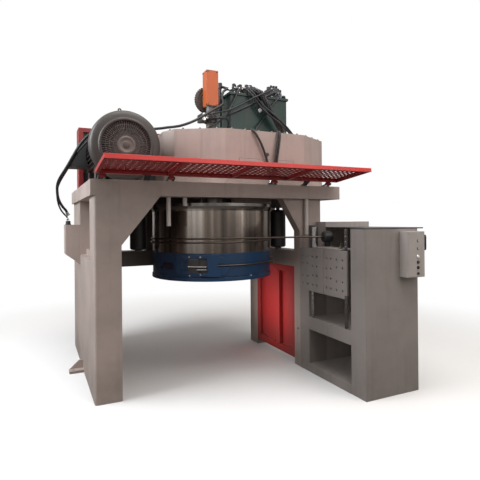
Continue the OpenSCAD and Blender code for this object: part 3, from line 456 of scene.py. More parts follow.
# Control box
# A folded steel box on the stand's front, with two plain lamps, one white lamp and three selectors.
# At its right are a black socket box and three black plugs.
lens_white = bpy.data.materials.new("white_lens")
lens_white.use_nodes = True
skin = lens_white.node_tree.nodes["Principled BSDF"]
skin.inputs["Base Color"].default_value = (0.86, 0.86, 0.84, 1)
skin.inputs["Roughness"].default_value = 0.18
skin.inputs["Coat Weight"].default_value = 0.6
box_low, box_high = (np.array(corner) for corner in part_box("control_box"))
button_x = box_low[0] + 0.112
box_front = box_low[1]
outwards = np.array([0, -1.0, 0])


def bezel(height, radius, deep=0.006):
    """A stepped ring on the box's front, round a button of that radius."""
    foot = np.array([button_x, box_front, box_low[2] + height])
    return turned([(radius, 0), (radius, 0.6 * deep), (0.86 * radius, deep)], foot, outwards, 28)


def dome(height, radius, rise, start=0.006):
    """A button whose face swells by rise: its radius falls as the cosine while its height grows as the sine."""
    foot = np.array([button_x, box_front, box_low[2] + height]) + start * outwards
    curve = [(radius * math.cos(t), rise * math.sin(t)) for t in np.linspace(0, 1.35, 6)]
    return turned(curve, foot, outwards, 28)


def selector(height, radius, tilt):
    """A round knob with a raised grip across it, turned by tilt."""
    foot = np.array([button_x, box_front, box_low[2] + height]) + 0.006 * outwards
    knob = turned([(radius, 0), (radius, 0.002), (0.9 * radius, 0.0032)], foot, outwards, 28)
    grip, faces = block((-0.0035, -0.0080, -0.85 * radius), (0.0035, 0, 0.85 * radius), 0.0015)
    c, s = math.cos(tilt), math.sin(tilt)
    swung = np.column_stack([c * grip[:, 0] + s * grip[:, 2], grip[:, 1], c * grip[:, 2] - s * grip[:, 0]])
    return [knob, (swung + foot, faces)]


lamp_parts = []
for height in (0.302, 0.238):
    lamp_parts += [(*bezel(height, 0.011), 0), (*dome(height, 0.0090, 0.004), 3)]
lamp_parts += [(*bezel(0.168, 0.016), 1), (*dome(0.168, 0.0125, 0.007), 2)]
for height, radius, tilt in ((0.124, 0.014, 0.6), (0.080, 0.014, 0.0), (0.031, 0.012, -0.5)):
    lamp_parts += [(*bezel(height, radius), 0)] + [(*part, 0) for part in selector(height, 0.9 * radius, tilt)]
side_low = np.array([box_high[0], box_front + 0.020, box_high[2] - 0.160])
lamp_parts += [(*block(side_low, side_low + (0.046, 0.050, 0.130), 0.004), 0),
               (*block(side_low + (0.008, -0.006, 0.012), side_low + (0.040, 0.002, 0.118), 0.003), 0)]
for height in (0.090, 0.140, 0.190):
    foot = np.array([box_high[0], box_front + 0.045, box_low[2] + height])
    plug = [(0.013, 0), (0.013, 0.008), (0.016, 0.010), (0.016, 0.030), (0.012, 0.034)]
    lamp_parts += [(*turned(plug, foot, (1, 0, 0), 24), 0)]
buttons = piece("box_buttons", "root", [plastic, plated, lens_white, box_paint], lamp_parts)
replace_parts(buttons, "control_buttons")
lid_seam = block((box_low[0] + 0.004, box_front - 0.0015, box_low[2] + 0.004),
                 (box_high[0] - 0.004, box_front + 0.001, box_high[2] - 0.004), 0.001)
screw_foot = np.array([box_low[0] + 0.02, box_front - 0.0015, box_high[2] - 0.02])
lid_screw = turned([(0.004, 0), (0.0032, 0.002)], screw_foot, outwards, 16)
piece("box_lid", "root", [box_paint], [lid_seam, lid_screw])

# Drawing block
# The wire has polished the block's face and its flange is satin. The face's colour carries painted
# reflections in upright stripes round its axis. The gripper's halves are bolted to the skirt, and a
# bright clamp screw shows between them.
block_low, block_high = (np.array(corner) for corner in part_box("drum"))
block_axis = (block_low + block_high) / 2
block_face, tree = blank_material("polished_face_painted_reflections")
where = add(tree, "TexCoord", (0, 0))
centred = add(tree, "VectorMath", (1, 0), operation="SUBTRACT", in_0=where.outputs["Object"], in_1=tuple(block_axis))
split = add(tree, "SeparateXYZ", (2, 0), Vector=centred.outputs["Vector"])
bearing = calculate(tree, (3, 0), "ARCTAN2", split.outputs["Y"], split.outputs["X"])
# Painted reflections: the face's colour runs from near black to near white in upright stripes round the axis,
# standing for the surroundings seen in the polished steel.
painted_reflection_bands = add(tree, "TexNoise", (4, 0), noise_dimensions="1D", W=bearing, Scale=1.6, Detail=4.0, Roughness=0.6)
ramp = add(tree, "ValToRGB", (5, 0), Fac=painted_reflection_bands.outputs["Fac"])
painted_reflection_tones = [(0.36, (0.04, 0.04, 0.04)), (0.46, (0.20, 0.17, 0.15)), (0.56, (0.45, 0.38, 0.33)),
               (0.68, (0.90, 0.87, 0.82))]
for index, (place, colour) in enumerate(painted_reflection_tones):
    stop = ramp.color_ramp.elements[index] if index < 2 else ramp.color_ramp.elements.new(place)
    stop.position = place
    stop.color = (*colour, 1)
above = remap(tree, (4, 2), split.outputs["Z"], 0.172, 0.180)
painted_reflections_and_flange = add(tree, "Mix", (6, 0), data_type="RGBA", in_0=above, in_6=ramp.outputs["Color"],
            in_7=(0.24, 0.225, 0.21, 1))
rings = add(tree, "Mapping", (2, 3), Vector=where.outputs["Object"], Scale=(0.5, 0.5, 90))
ring_noise = add(tree, "TexNoise", (3, 3), Vector=rings.outputs["Vector"], Scale=6.0, Detail=3.0)
bump = add(tree, "Bump", (4, 3), Strength=0.12, Distance=0.0005, Height=ring_noise.outputs["Fac"])
gloss = remap(tree, (5, 2), painted_reflection_bands.outputs["Fac"], 0.35, 0.65, 0.30, 0.16)
skin = add(tree, "BsdfPrincipled", (7, 0), Metallic=1.0, Roughness=gloss, Normal=bump.outputs["Normal"])
tree.links.new(painted_reflections_and_flange.outputs[2], skin.inputs["Base Color"])
add(tree, "OutputMaterial", (8, 0), Surface=skin.outputs["BSDF"])
finish_nodes(block_face, "drum")
skirt_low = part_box("drum_skirt")[0][2]
front_angle = math.radians(248.5)


def on_block(turn, height, radius):
    """A place at that turn in degrees from the gripper, height over the skirt's edge and distance from
    the block's axis, and the direction outwards there."""
    a = front_angle + math.radians(turn)
    out = np.array([math.cos(a), math.sin(a), 0])
    return np.array([block_axis[0], block_axis[1], skirt_low + height]) + radius * out, out


gripper_bolts = []
for turn, height, radius in ((-19.5, 0.222, 0.612), (-9.2, 0.224, 0.640), (-19.5, 0.052, 0.604),
                             (-9.2, 0.066, 0.640), (36.9, 0.038, 0.604)):
    foot, out = on_block(turn, height, radius)
    gripper_bolts += hex_bolt(foot, out, 0.009)


def curved_band(start, end, low, high, inner, outer, steps=12):
    """A band on the skirt between two turns, two heights and two radii: cross-section k lies at the
    turn start + (end - start) * k / steps."""
    points = []
    for turn in np.linspace(start, end, steps + 1):
        for height, radius in ((low, inner), (low, outer), (high, outer), (high, inner)):
            points.append(on_block(turn, height, radius)[0])
    faces = [[4 * k + i, 4 * k + (i + 1) % 4, 4 * k + 4 + (i + 1) % 4, 4 * k + 4 + i]
             for k in range(steps) for i in range(4)]
    faces += [[3, 2, 1, 0], [4 * steps + i for i in range(4)]]
    return np.array(points), faces


# Thin dark plates on the gripper's faces stand for the dark inside its slots: painted shade.
slot_shade_parts = [curved_band(-20.5, -10.9, 0.082, 0.200, 0.6122, 0.6135),
              curved_band(-11.2, -4.1, 0.080, 0.206, 0.6042, 0.6055)]
piece("gripper_slot_shade", "drawing_block", [dark], slot_shade_parts)
for start_turn, height, radius in ((-20.0, 0.136, 0.007), (-12.5, 0.110, 0.006)):
    start, end = on_block(start_turn, height, 0.626)[0], on_block(-4.3, height, 0.632)[0]
    gripper_bolts.append(rod(start, end, radius, 16))
piece("gripper_bolts", "drawing_block", [plated], gripper_bolts)

# Motor
# A pressed steel cowl covers the fan. Its front is a grille of radial bars with a hub ring and two
# screws, and a lifting eye stands on the top. A ribbed barrel joins it to the finned body behind.
cowl_low, cowl_high = (np.array(corner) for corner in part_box("motor_cowl"))
cowl_r = (cowl_high[0] - cowl_low[0]) / 2
cowl_front = np.array([(cowl_low[0] + cowl_high[0]) / 2, cowl_low[1] + 0.005, (cowl_low[2] + cowl_high[2]) / 2])
cowl_deep = cowl_high[1] - cowl_front[1]
backwards = np.array([0, 1.0, 0])
grille_r = 0.69 * cowl_r
hub_r = 0.25 * cowl_r
sheet = 0.004
rim_deep = 0.085
outside = [(grille_r, 0.006), (grille_r, -0.003), (grille_r + 0.006, -0.006), (0.745 * cowl_r, -0.005),
           (0.775 * cowl_r, 0.004), (0.86 * cowl_r, 0.008), (0.93 * cowl_r, 0.014), (0.975 * cowl_r, 0.024),
           (cowl_r, 0.042), (cowl_r, rim_deep - 0.014), (cowl_r + 0.002, rim_deep - 0.012),
           (cowl_r + 0.002, rim_deep)]
inside = [(cowl_r - sheet, rim_deep), (cowl_r - sheet, 0.044), (0.92 * cowl_r, 0.022), (0.80 * cowl_r, 0.012)]
cowl_paint = painted("cowl_paint", (0.058, 0.050, 0.046), (0.044, 0.038, 0.035), roughness=0.40, dust=0.1,
                     dirt=(0.10, 0.09, 0.08))
grille_paint = painted("grille_paint", (0.085, 0.074, 0.069), (0.065, 0.057, 0.053), roughness=0.45)


def tagged(kind, *parts):
    """Those parts, each with the number of its material."""
    return [(*part, kind) for part in parts]


def spokes(count, low, high, centre):
    """Blocks in a ring about centre. The x of block i runs outwards at the angle 2 pi i / count, its y
    runs backwards and its z runs round the ring."""
    shape, faces = block(low, high, 0.001)
    ring = []
    for a in (2 * math.pi * index / count for index in range(count)):
        out, aside = np.array([math.cos(a), 0, math.sin(a)]), np.array([-math.sin(a), 0, math.cos(a)])
        placed = centre + shape[:, :1] * out + shape[:, 1:2] * backwards + shape[:, 2:] * aside
        ring.append((placed, outward(placed, faces)))
    return ring


cowl_parts = [turned(outside + inside, cowl_front, backwards, 96, closed=True)]
cowl_parts += tagged(1, *spokes(64, (hub_r - 0.004, 0.001, -0.0028), (grille_r + 0.003, 0.007, 0.0028), cowl_front))
for radius in (0.36 * cowl_r, 0.47 * cowl_r, 0.58 * cowl_r):
    hoop = [(radius - 0.0025, 0.003), (radius + 0.0025, 0.003), (radius + 0.0025, 0.009), (radius - 0.0025, 0.009)]
    cowl_parts.append((*turned(hoop, cowl_front, backwards, 64, closed=True), 1))
hub = [(hub_r, 0), (hub_r, 0.010), (0.94 * hub_r, 0.012), (0.80 * hub_r, 0.012), (0.74 * hub_r, 0.009),
       (0.52 * hub_r, 0.008)]
cowl_parts.append((*turned(hub, cowl_front + 0.011 * backwards, -backwards, 48), 2))
hub_cap = [(0.40 * hub_r, 0), (0.40 * hub_r, 0.004), (0.34 * hub_r, 0.006)]
cowl_parts.append((*turned(hub_cap, cowl_front + 0.003 * backwards, -backwards, 32), 1))
cowl = piece("cowl_and_grille", "root", [cowl_paint, grille_paint, grey], cowl_parts)
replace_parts(cowl, "motor_cowl")
fan_disc = turned([(0.70 * cowl_r, 0.055), (0.70 * cowl_r, 0.060)], cowl_front, backwards, 64)
core_r, fin_r = 0.78 * cowl_r, 0.865 * cowl_r
barrel_parts = [turned([(cowl_r - 0.006, 0.068), (cowl_r - 0.006, 0.074), (fin_r - 0.006, 0.082), (core_r, 0.100),
                        (core_r, cowl_deep + 0.002)], cowl_front, backwards, 88)]
barrel_parts += spokes(44, (core_r - 0.004, 0.090, -0.003), (fin_r, cowl_deep + 0.031, 0.003), cowl_front)
piece("motor_front_ribs", "root", [cowl_paint], barrel_parts)
finish_nodes(cowl_paint, "motor_body")
fan_parts = [fan_disc] + spokes(12, (0.10, 0.020, -0.004), (0.62 * cowl_r, 0.056, 0.004), cowl_front)
piece("cowl_fan", "root", [dark], fan_parts)
screws = []
for turn, radius in ((1.15, 0.115), (3.05, 0.120)):
    foot = cowl_front + radius * np.array([math.cos(turn), 0, math.sin(turn)]) + 0.001 * backwards
    screws.append(turned([(0.009, 0), (0.009, 0.004), (0.006, 0.007)], foot, -backwards, 20))
piece("cowl_screws", "root", [dark], screws)
eye_foot = cowl_front + np.array([-0.035, 0.120, cowl_r - 0.004])
eye_turns = np.linspace(0, 2 * math.pi, 10, endpoint=False)
eye_ring = [(0.011 + 0.006 * math.cos(t), 0.006 * math.sin(t)) for t in eye_turns]
eye_parts = [turned([(0.011, 0), (0.011, 0.006), (0.007, 0.009)], eye_foot, (0, 0, 1), 20),
             turned(eye_ring, eye_foot + np.array([0, 0, 0.022]), (0, 1, 0), 28, closed=True)]
piece("lifting_eye", "root", [dark], eye_parts)

# Gearbox cover
# A faceted sheet cover. Bolts hold its top plate all round, and its front has a blank plate with a dark
# rim of painted shade standing for the gap round it, a small plug and two hose glands.
cover_corners = [(1187, 50), (2041, 50), (2418, 268), (2436, 425), (2436, 751), (2418, 908),
                 (2041, 1126), (1187, 1126), (773, 896), (713, 739), (713, 437), (773, 280)]
cover_top = 2310
bolt_parts = []
for start, end in zip(cover_corners, cover_corners[1:] + cover_corners[:1]):
    start, end = np.array(start, float), np.array(end, float)
    inward = np.array([start[1] - end[1], end[0] - start[0]]) / np.linalg.norm(end - start)
    count = max(1, round(np.linalg.norm(end - start) / 150))
    for step in range(count):
        x, y = start + (end - start) * (step + 0.5) / count + 16 * inward
        bolt_parts += hex_bolt(spot(x, y, cover_top), (0, 0, 1), 0.017)
piece("cover_bolts", "root", [wire_steel], bolt_parts)
plate_low, plate_high = (1325, 1925), (1919, 2043)
front = 50
gap_shade_width = 3
# A dark block behind the plate shows as a rim round it: painted shade for the gap round the plate.
plate_parts = [(*block(spot(plate_low[0], front - 1.5, plate_low[1]),
                       spot(plate_high[0], front + 1, plate_high[1]), 0.0005), 1),
               (*block(spot(plate_low[0] + gap_shade_width, front - 2.5, plate_low[1] + gap_shade_width),
                       spot(plate_high[0] - gap_shade_width, front + 1, plate_high[1] - gap_shade_width), 0.0005), 0)]
piece("blank_plate", "root", [beige, dark], plate_parts)
plug = [(0.017, 0), (0.017, 0.004), (0.012, 0.007), (0.008, 0.008)]
piece("cover_plug", "root", [dark], [turned(plug, spot(1624, front, 2092), (0, -1, 0), 24)])

# Oil tank
# A welded sheet tank with a folded lid, bolted down round its edge, and a small pale level gauge.
tank_low, tank_high = (np.array(corner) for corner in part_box("tank_lid"))
lid_bolts = []
for along_x in np.linspace(0.03, 0.97, 7):
    for edge in (0.016, -0.016):
        y = tank_low[1] + edge if edge > 0 else tank_high[1] + edge
        x = tank_low[0] + along_x * (tank_high[0] - tank_low[0])
        lid_bolts += hex_bolt((x, y, tank_high[2]), (0, 0, 1), 0.013)
piece("lid_bolts", "root", [wire_steel], lid_bolts)
gauge_foot = spot(1853, 630, 2673)
gauge_rim = [(0.024, 0), (0.024, 0.010), (0.021, 0.013), (0.019, 0.013)]
gauge_parts = [(*turned(gauge_rim, gauge_foot, (0, -1, 0), 28), 0),
               (*turned([(0.0188, 0.0125), (0.0188, 0.0135)], gauge_foot, (0, -1, 0), 28), 1)]
piece("level_gauge", "root", [plated, lens_white], gauge_parts)

# Valves
# Blocks of dark cast valves stand on the tank's lid. Each has a steel face plate, sockets for hoses,
# and a solenoid or a knob, and a small blue coil stands at the right end.
brass = bare_metal("brass", (0.55, 0.38, 0.17), 0.32)
coil_blue = painted("coil_paint", (0.16, 0.27, 0.38), (0.12, 0.22, 0.32), roughness=0.4, dust=0.2)
valve_grey = painted("valve_paint", (0.05, 0.06, 0.08), (0.035, 0.042, 0.055), dirt=(0.08, 0.08, 0.08), roughness=0.4)
valve_cast = painted("valve_casting", (0.028, 0.028, 0.032), (0.02, 0.02, 0.023), dirt=(0.07, 0.065, 0.06),
                     roughness=0.38)
STEEL, BLACK, BRASS, COIL, GREY, CAST = range(6)
lid_top = 2835
column_x, column_y, column_r = 1257, 588, 0.0485


def knob(foot, along, radius, reach):
    """A knob on a thin neck, with a broken edge round its face."""
    profile = [(0.45 * radius, 0), (0.45 * radius, 0.25 * reach), (radius, 0.32 * reach),
               (radius, 0.88 * reach), (0.8 * radius, reach)]
    return turned(profile, foot, along, 24)


up, forward = (0, 0, 1), (0, -1, 0)
valve_parts = []
for low, high in (((1562, 690), (1712, 800)), ((1742, 710), (1862, 840)), ((1902, 740), (2002, 840)),
                  ((2022, 690), (2152, 840))):
    tall = {1562: 90, 1742: 120, 1902: 70, 2022: 132}[low[0]]
    valve_parts += tagged(CAST, block(spot(*low, lid_top), spot(*high, lid_top + tall), 0.005))
    for share in (0.3, 0.7):
        x = low[0] + share * (high[0] - low[0])
        stem = [(0.017, 0), (0.017, 0.012), (0.022, 0.014), (0.022, 0.034), (0.016, 0.039)]
        valve_parts += tagged(CAST, turned(stem, spot(x, high[1] - 40, lid_top + tall), up, 24))
for start, end, wide in (((1530, 560, 2350), (1530, 632, 2350), 17), ((1800, 560, 2350), (1800, 632, 2350), 17),
                         ((1765, 560, 2350), (1765, 632, 2350), 13), ((1652, 36, 1812), (1652, 36, 1780), 13),
                         ((1702, 36, 1812), (1702, 36, 1780), 13), ((1677, 36, 1815), (1677, 36, 1780), 10),
                         ((2126, 540, 2345), (2126, 540, 2306), 38)):
    valve_parts += tagged(CAST, rod(spot(*start), spot(*end), wide / 1000, 28))
box_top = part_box("cable_box")[1][2]
for x, y in ((-85, 1200), (-85, 1250)):
    foot = spot(x, y, 0) * (1, 1, 0) + (0, 0, box_top)
    gland = [(0.026, 0), (0.026, 0.010), (0.022, 0.012), (0.022, 0.034), (0.016, 0.042)]
    valve_parts += tagged(CAST, turned(gland, foot, up, 24))
valve_parts += tagged(CAST, block(spot(2290, 490, 2310), spot(2370, 590, 2380), 0.004))
clamp_low, clamp_high = spot(1119, 470, 2462), spot(1164, 616, 2543)
valve_parts += tagged(CAST, block(clamp_low, clamp_high, 0.004),
                      block(spot(1160, 560, 2466), spot(1215, 616, 2539), 0.003))
collar = [(column_r, 0), (0.064, 0), (0.064, 0.073), (column_r, 0.073)]
valve_parts += tagged(CAST, turned(collar, spot(column_x, column_y, 2466), up, 48, closed=True))
valve_parts += tagged(GREY, block(spot(1570, 684, 2848), spot(1642, 692, 2914), 0.002),
                     block(spot(1752, 702, 2846), spot(1852, 712, 2946), 0.002),
                     block(spot(2030, 684, 2850), spot(2146, 692, 2958), 0.002))
for x in (1598, 1676):
    valve_parts += tagged(BLACK, turned([(20, 0), (20, 40), (14, 46)] * np.array([0.001, 0.001]),
                                        spot(x, 752, 2924), up, 24))
valve_parts += tagged(BLACK, knob(spot(1850, 704, 2912), forward, 0.015, 0.040))
valve_parts += tagged(BLACK, knob(spot(2175, 735, 2926), up, 0.017, 0.038))
for x in (2052, 2086, 2120):
    valve_parts += tagged(BLACK, knob(spot(x, 724, 2965), up, 0.014, 0.034))
valve_parts += tagged(BLACK, knob(spot(2196, 735, 2888), (1, 0, 0), 0.019, 0.046))
pipe = [(0.018, 0), (0.018, 0.360), (0.026, 0.362), (0.026, 0.392), (0.018, 0.394), (0.018, 0.480), (0.027, 0.482),
        (0.027, 0.520), (0.018, 0.522), (0.018, 0.600), (0.025, 0.602), (0.025, 0.660)]
valve_parts += tagged(CAST, turned(pipe, spot(1452, 800, 2310), up, 28),
                      rod(spot(1452, 780, 2930), spot(1566, 780, 2910), 0.014))
valve_parts += tagged(COIL, turned([(0.020, 0), (0.022, 0.003), (0.022, 0.088), (0.018, 0.093)],
                                   spot(2175, 735, lid_top), up, 28))
valve_parts += tagged(BRASS, rod(spot(1945, 742, 2872), spot(1945, 704, 2872), 0.010),
                      *hex_bolt(spot(1945, 740, 2872), forward, 0.026))
valve_parts += tagged(STEEL, turned([(0.020, 0), (0.024, 0.002), (0.024, 0.030), (0.016, 0.038)],
                                    spot(1952, 790, 2904), up, 28))
for x, y, z in ((1578, 684, 2856), (1634, 684, 2856), (1578, 684, 2906), (1634, 684, 2906),
                (1760, 702, 2854), (1844, 702, 2854), (1760, 702, 2938), (1844, 702, 2938),
                (2038, 684, 2858), (2138, 684, 2858), (2038, 684, 2950), (2138, 684, 2950)):
    valve_parts += tagged(STEEL, turned([(0.0065, 0), (0.0065, 0.005), (0.0045, 0.0062)], spot(x, y, z), forward, 16))
valves = piece("valves", "root", [plated, plastic, brass, coil_blue, valve_grey, valve_cast], valve_parts)
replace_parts(valves, "valves_and_fittings")
clamp_bolts = []
for z in (2482, 2524):
    clamp_bolts += hex_bolt(spot(1141, 470, z), forward, 0.017)
for x in (2302, 2358):
    for z in (2322, 2368):
        clamp_bolts.append(turned([(0.005, 0), (0.005, 0.003), (0.003, 0.004)], spot(x, 490, z), forward, 14))
piece("clamp_bolts", "root", [plated], clamp_bolts)

# Small motor
# The orange gear case is cast and machined, with cap screws in its corners, and a ring seals it to
# the grey column. The small motor is bolted to its back.
case_front, case_left = 526, 1195
cap_screw = [(0.007, 0), (0.007, 0.006), (0.005, 0.0075)]
case_screws = []
for z in (2652, 2987):
    case_screws += [turned(cap_screw, spot(x, case_front, z), forward, 18) for x in (1208, 1306)]
    case_screws += [turned(cap_screw, spot(case_left, y, z), (-1, 0, 0), 18) for y in (539, 637)]
piece("case_screws", "root", [wire_steel], case_screws)
motor_r, motor_deep = 0.138, 0.078
motor_foot = spot(column_x, 650, 2723)
shell = [(motor_r - 0.004, 0), (motor_r - 0.001, 0.003), (motor_r - 0.001, motor_deep - 0.034),
         (motor_r - 0.014, motor_deep - 0.014), (motor_r - 0.050, motor_deep)]
small_motor = [turned(shell, motor_foot, backwards, 64)]
small_motor += spokes(36, (motor_r - 0.004, 0.006, -0.0022), (motor_r + 0.007, motor_deep - 0.040, 0.0022),
                      motor_foot)
for radius in (0.030, 0.058, 0.086, 0.112):
    ring = [(radius, -0.0035), (radius + 0.010, -0.0035), (radius + 0.010, 0.002), (radius, 0.002)]
    small_motor.append(turned(ring, motor_foot, backwards, 48, closed=True))
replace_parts(piece("small_motor", "root", [casting], small_motor), "top_motor")
seal_parts = []
for wide, high, z in ((0.058, 0.010, 2629), (0.078, 0.012, cover_top)):
    seal = [(column_r, 0), (wide, 0), (wide, high), (column_r, high)]
    seal_parts.append(turned(seal, spot(column_x, column_y, z), up, 48, closed=True))
piece("column_seals", "root", [grey], seal_parts)

# Walkway
# The walkway's top is punched sheet on a frame of red bars. It folds up on its hinges, and the flange
# along its front edge is painted a brighter red than the bars.
hinge_y, hinge_z, tilt = -32, 1822, math.radians(6.5)
sheet_x, sheet_long, sheet_deep, sheet_z = 33, 2349, 507, 46
pitch, hole = 52, 11.5


def on_walkway(points):
    """Places in the frame from millimetres in the walkway's own axes, whose y and z lie turned about
    the hinge by the tilt."""
    x, y, z = np.array(points, float).T
    c, s = math.cos(tilt), math.sin(tilt)
    return np.column_stack([x, hinge_y + c * y + s * z, hinge_z - s * y + c * z]) / 1000 - machine_corner


def punched_sheet(thick):
    """A flat sheet with round holes on a square grid. In each cell ray k at k * 22.5 degrees meets the
    hole at the hole's radius and the cell's edge at pitch / 2 / max(abs cos, abs sin)."""
    ray = np.arange(16) * math.pi / 8
    unit = np.column_stack([np.cos(ray), np.sin(ray)])
    edge = unit * (pitch / 2 / np.abs(unit).max(axis=1))[:, None]
    columns, rows = int(sheet_long // pitch) - 1, int(sheet_deep // pitch) - 1
    left, low = sheet_x + (sheet_long - columns * pitch) / 2, -sheet_deep + (sheet_deep - rows * pitch) / 2
    points, faces = [], []
    for level in (sheet_z, sheet_z + thick):
        for i in range(columns):
            for j in range(rows):
                centre = np.array([left + (i + 0.5) * pitch, low + (j + 0.5) * pitch])
                first = len(points)
                points += [(*p, level) for p in centre + hole * unit] + [(*p, level) for p in centre + edge]
                for k in range(16):
                    n = (k + 1) % 16
                    quad = [first + k, first + 16 + k, first + 16 + n, first + n]
                    faces.append(quad if level > sheet_z else quad[::-1])
    lower = columns * rows * 32
    for cell in range(columns * rows):
        for k in range(16):
            a, b = cell * 32 + k, cell * 32 + (k + 1) % 16
            faces.append([a, lower + a, lower + b, b])
    outer = [(sheet_x, -sheet_deep), (sheet_x + sheet_long, -sheet_deep), (sheet_x + sheet_long, 0), (sheet_x, 0)]
    inner = [(left, low), (left + columns * pitch, low), (left + columns * pitch, low + rows * pitch),
             (left, low + rows * pitch)]
    for level in (sheet_z, sheet_z + thick):
        first = len(points)
        points += [(*p, level) for p in outer + inner]
        for k in range(4):
            n = (k + 1) % 4
            quad = [first + k, first + n, first + 4 + n, first + 4 + k]
            faces.append(quad if level > sheet_z else quad[::-1])
    for k in range(4):
        n = (k + 1) % 4
        faces.append([first - 8 + k, first - 8 + n, first + n, first + k])
    return on_walkway(points), faces


def on_bar(low, high, chamfer=0.001):
    """A chamfered box given in the walkway's own axes."""
    points, faces = block(np.array(low) / 1000, np.array(high) / 1000, chamfer)
    placed = on_walkway(points * 1000)
    return placed, outward(placed, faces)


punched = piece("punched_sheet", "walkway", [red], [punched_sheet(1.5)])
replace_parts(punched, "walkway_sheet")
# The flange's red is a brighter copy of the walkway's red.
brighter_red = painted("flange_paint", (0.80, 0.046, 0.038), (0.70, 0.040, 0.034), dirt=(0.26, 0.08, 0.07),
                    roughness=0.36, dust=0.2)
bar, bar_low = 30, 16
bay = (sheet_long - bar) / 4
frame_parts = [on_bar((sheet_x, y, bar_low), (sheet_x + sheet_long, y + bar, sheet_z)) for y in (-sheet_deep, -bar)]
frame_parts += [on_bar((sheet_x + k * bay, -sheet_deep + bar, bar_low), (sheet_x + k * bay + bar, -bar, sheet_z))
                for k in range(5)]
pin_clear, knuckle_r, knuckle_long = 0.0081, 0.013, 0.040
knuckle = [(pin_clear, 0), (knuckle_r, 0), (knuckle_r, knuckle_long), (pin_clear, knuckle_long)]
for x in (sheet_x + offset for offset in (55, 617, 1619, 2241)):
    frame_parts.append(turned(knuckle, on_walkway([(x - 20, 0, 0)])[0], (1, 0, 0), 32, closed=True))
    frame_parts.append(on_bar((x - 20, -13, 11), (x + 20, 13, 17)))
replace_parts(piece("walkway_bars", "walkway", [red], frame_parts), "walkway_frame")
flange = on_bar((sheet_x, -sheet_deep - 2, sheet_z - 33), (sheet_x + sheet_long, -sheet_deep, sheet_z + 3))
piece("walkway_flange", "walkway", [brighter_red], [flange])

# Hoses
# Hydraulic hoses run from the valves over the tank and the gearbox cover, and one long cable
# crosses the motor to the cable box. They are black rubber, held in a fitting at each end.
hose_routes = {
    "hose_front_left": (0.011, [
        (1.530, 0.560, 2.350), (1.530, 0.500, 2.350), (1.510, 0.400, 2.340), (1.480, 0.280, 2.328),
        (1.464, 0.150, 2.324), (1.459, 0.080, 2.324), (1.460, 0.050, 2.324), (1.463, 0.040, 2.320),
        (1.468, 0.036, 2.310), (1.500, 0.026, 2.260), (1.545, 0.020, 2.180), (1.597, 0.024, 2.060),
        (1.634, 0.032, 1.940), (1.652, 0.036, 1.850), (1.652, 0.036, 1.812)]),
    "hose_front_right": (0.011, [
        (1.800, 0.560, 2.350), (1.800, 0.500, 2.350), (1.796, 0.400, 2.340), (1.785, 0.280, 2.328),
        (1.772, 0.150, 2.324), (1.766, 0.080, 2.324), (1.764, 0.050, 2.324), (1.762, 0.040, 2.320),
        (1.759, 0.036, 2.310), (1.750, 0.026, 2.260), (1.735, 0.020, 2.180), (1.718, 0.024, 2.060),
        (1.708, 0.032, 1.940), (1.702, 0.036, 1.850), (1.702, 0.036, 1.812)]),
    "hose_cross": (0.012, [
        (2.080, 0.690, 2.900), (2.080, 0.676, 2.900), (2.067, 0.645, 2.897), (2.035, 0.612, 2.886),
        (1.985, 0.601, 2.862), (1.880, 0.600, 2.800), (1.760, 0.598, 2.732), (1.640, 0.594, 2.668),
        (1.520, 0.588, 2.608), (1.420, 0.586, 2.564), (1.370, 0.587, 2.540), (1.336, 0.588, 2.528),
        (1.306, 0.588, 2.528)]),
    "hose_bundle": (0.030, [
        (1.802, 0.710, 2.902), (1.802, 0.685, 2.902), (1.805, 0.640, 2.898), (1.814, 0.600, 2.884),
        (1.834, 0.572, 2.850), (1.868, 0.548, 2.790), (1.915, 0.542, 2.700), (1.968, 0.540, 2.610),
        (2.030, 0.540, 2.510), (2.088, 0.540, 2.440), (2.126, 0.540, 2.385), (2.126, 0.540, 2.345)]),
    "hose_long": (0.013, [
        (1.562, 0.745, 2.900), (1.520, 0.745, 2.900), (1.470, 0.732, 2.872), (1.430, 0.690, 2.800),
        (1.410, 0.630, 2.735), (1.385, 0.560, 2.685), (1.345, 0.490, 2.645), (1.290, 0.455, 2.610),
        (1.210, 0.432, 2.560), (1.120, 0.415, 2.500), (1.000, 0.405, 2.427), (0.870, 0.420, 2.375),
        (0.760, 0.455, 2.358), (0.690, 0.485, 2.348), (0.600, 0.520, 2.342), (0.500, 0.550, 2.346),
        (0.400, 0.575, 2.366), (0.308, 0.585, 2.377), (0.215, 0.590, 2.362), (0.160, 0.595, 2.334),
        (0.120, 0.600, 2.306), (0.040, 0.612, 2.240), (-0.010, 0.630, 2.180), (-0.050, 0.655, 2.110),
        (-0.090, 0.685, 2.035), (-0.122, 0.720, 1.972), (-0.162, 0.790, 1.905), (-0.190, 0.880, 1.850),
        (-0.198, 0.980, 1.790), (-0.185, 1.080, 1.700), (-0.150, 1.150, 1.630), (-0.108, 1.190, 1.580),
        (-0.085, 1.200, 1.550), (-0.085, 1.200, 1.530)]),
}
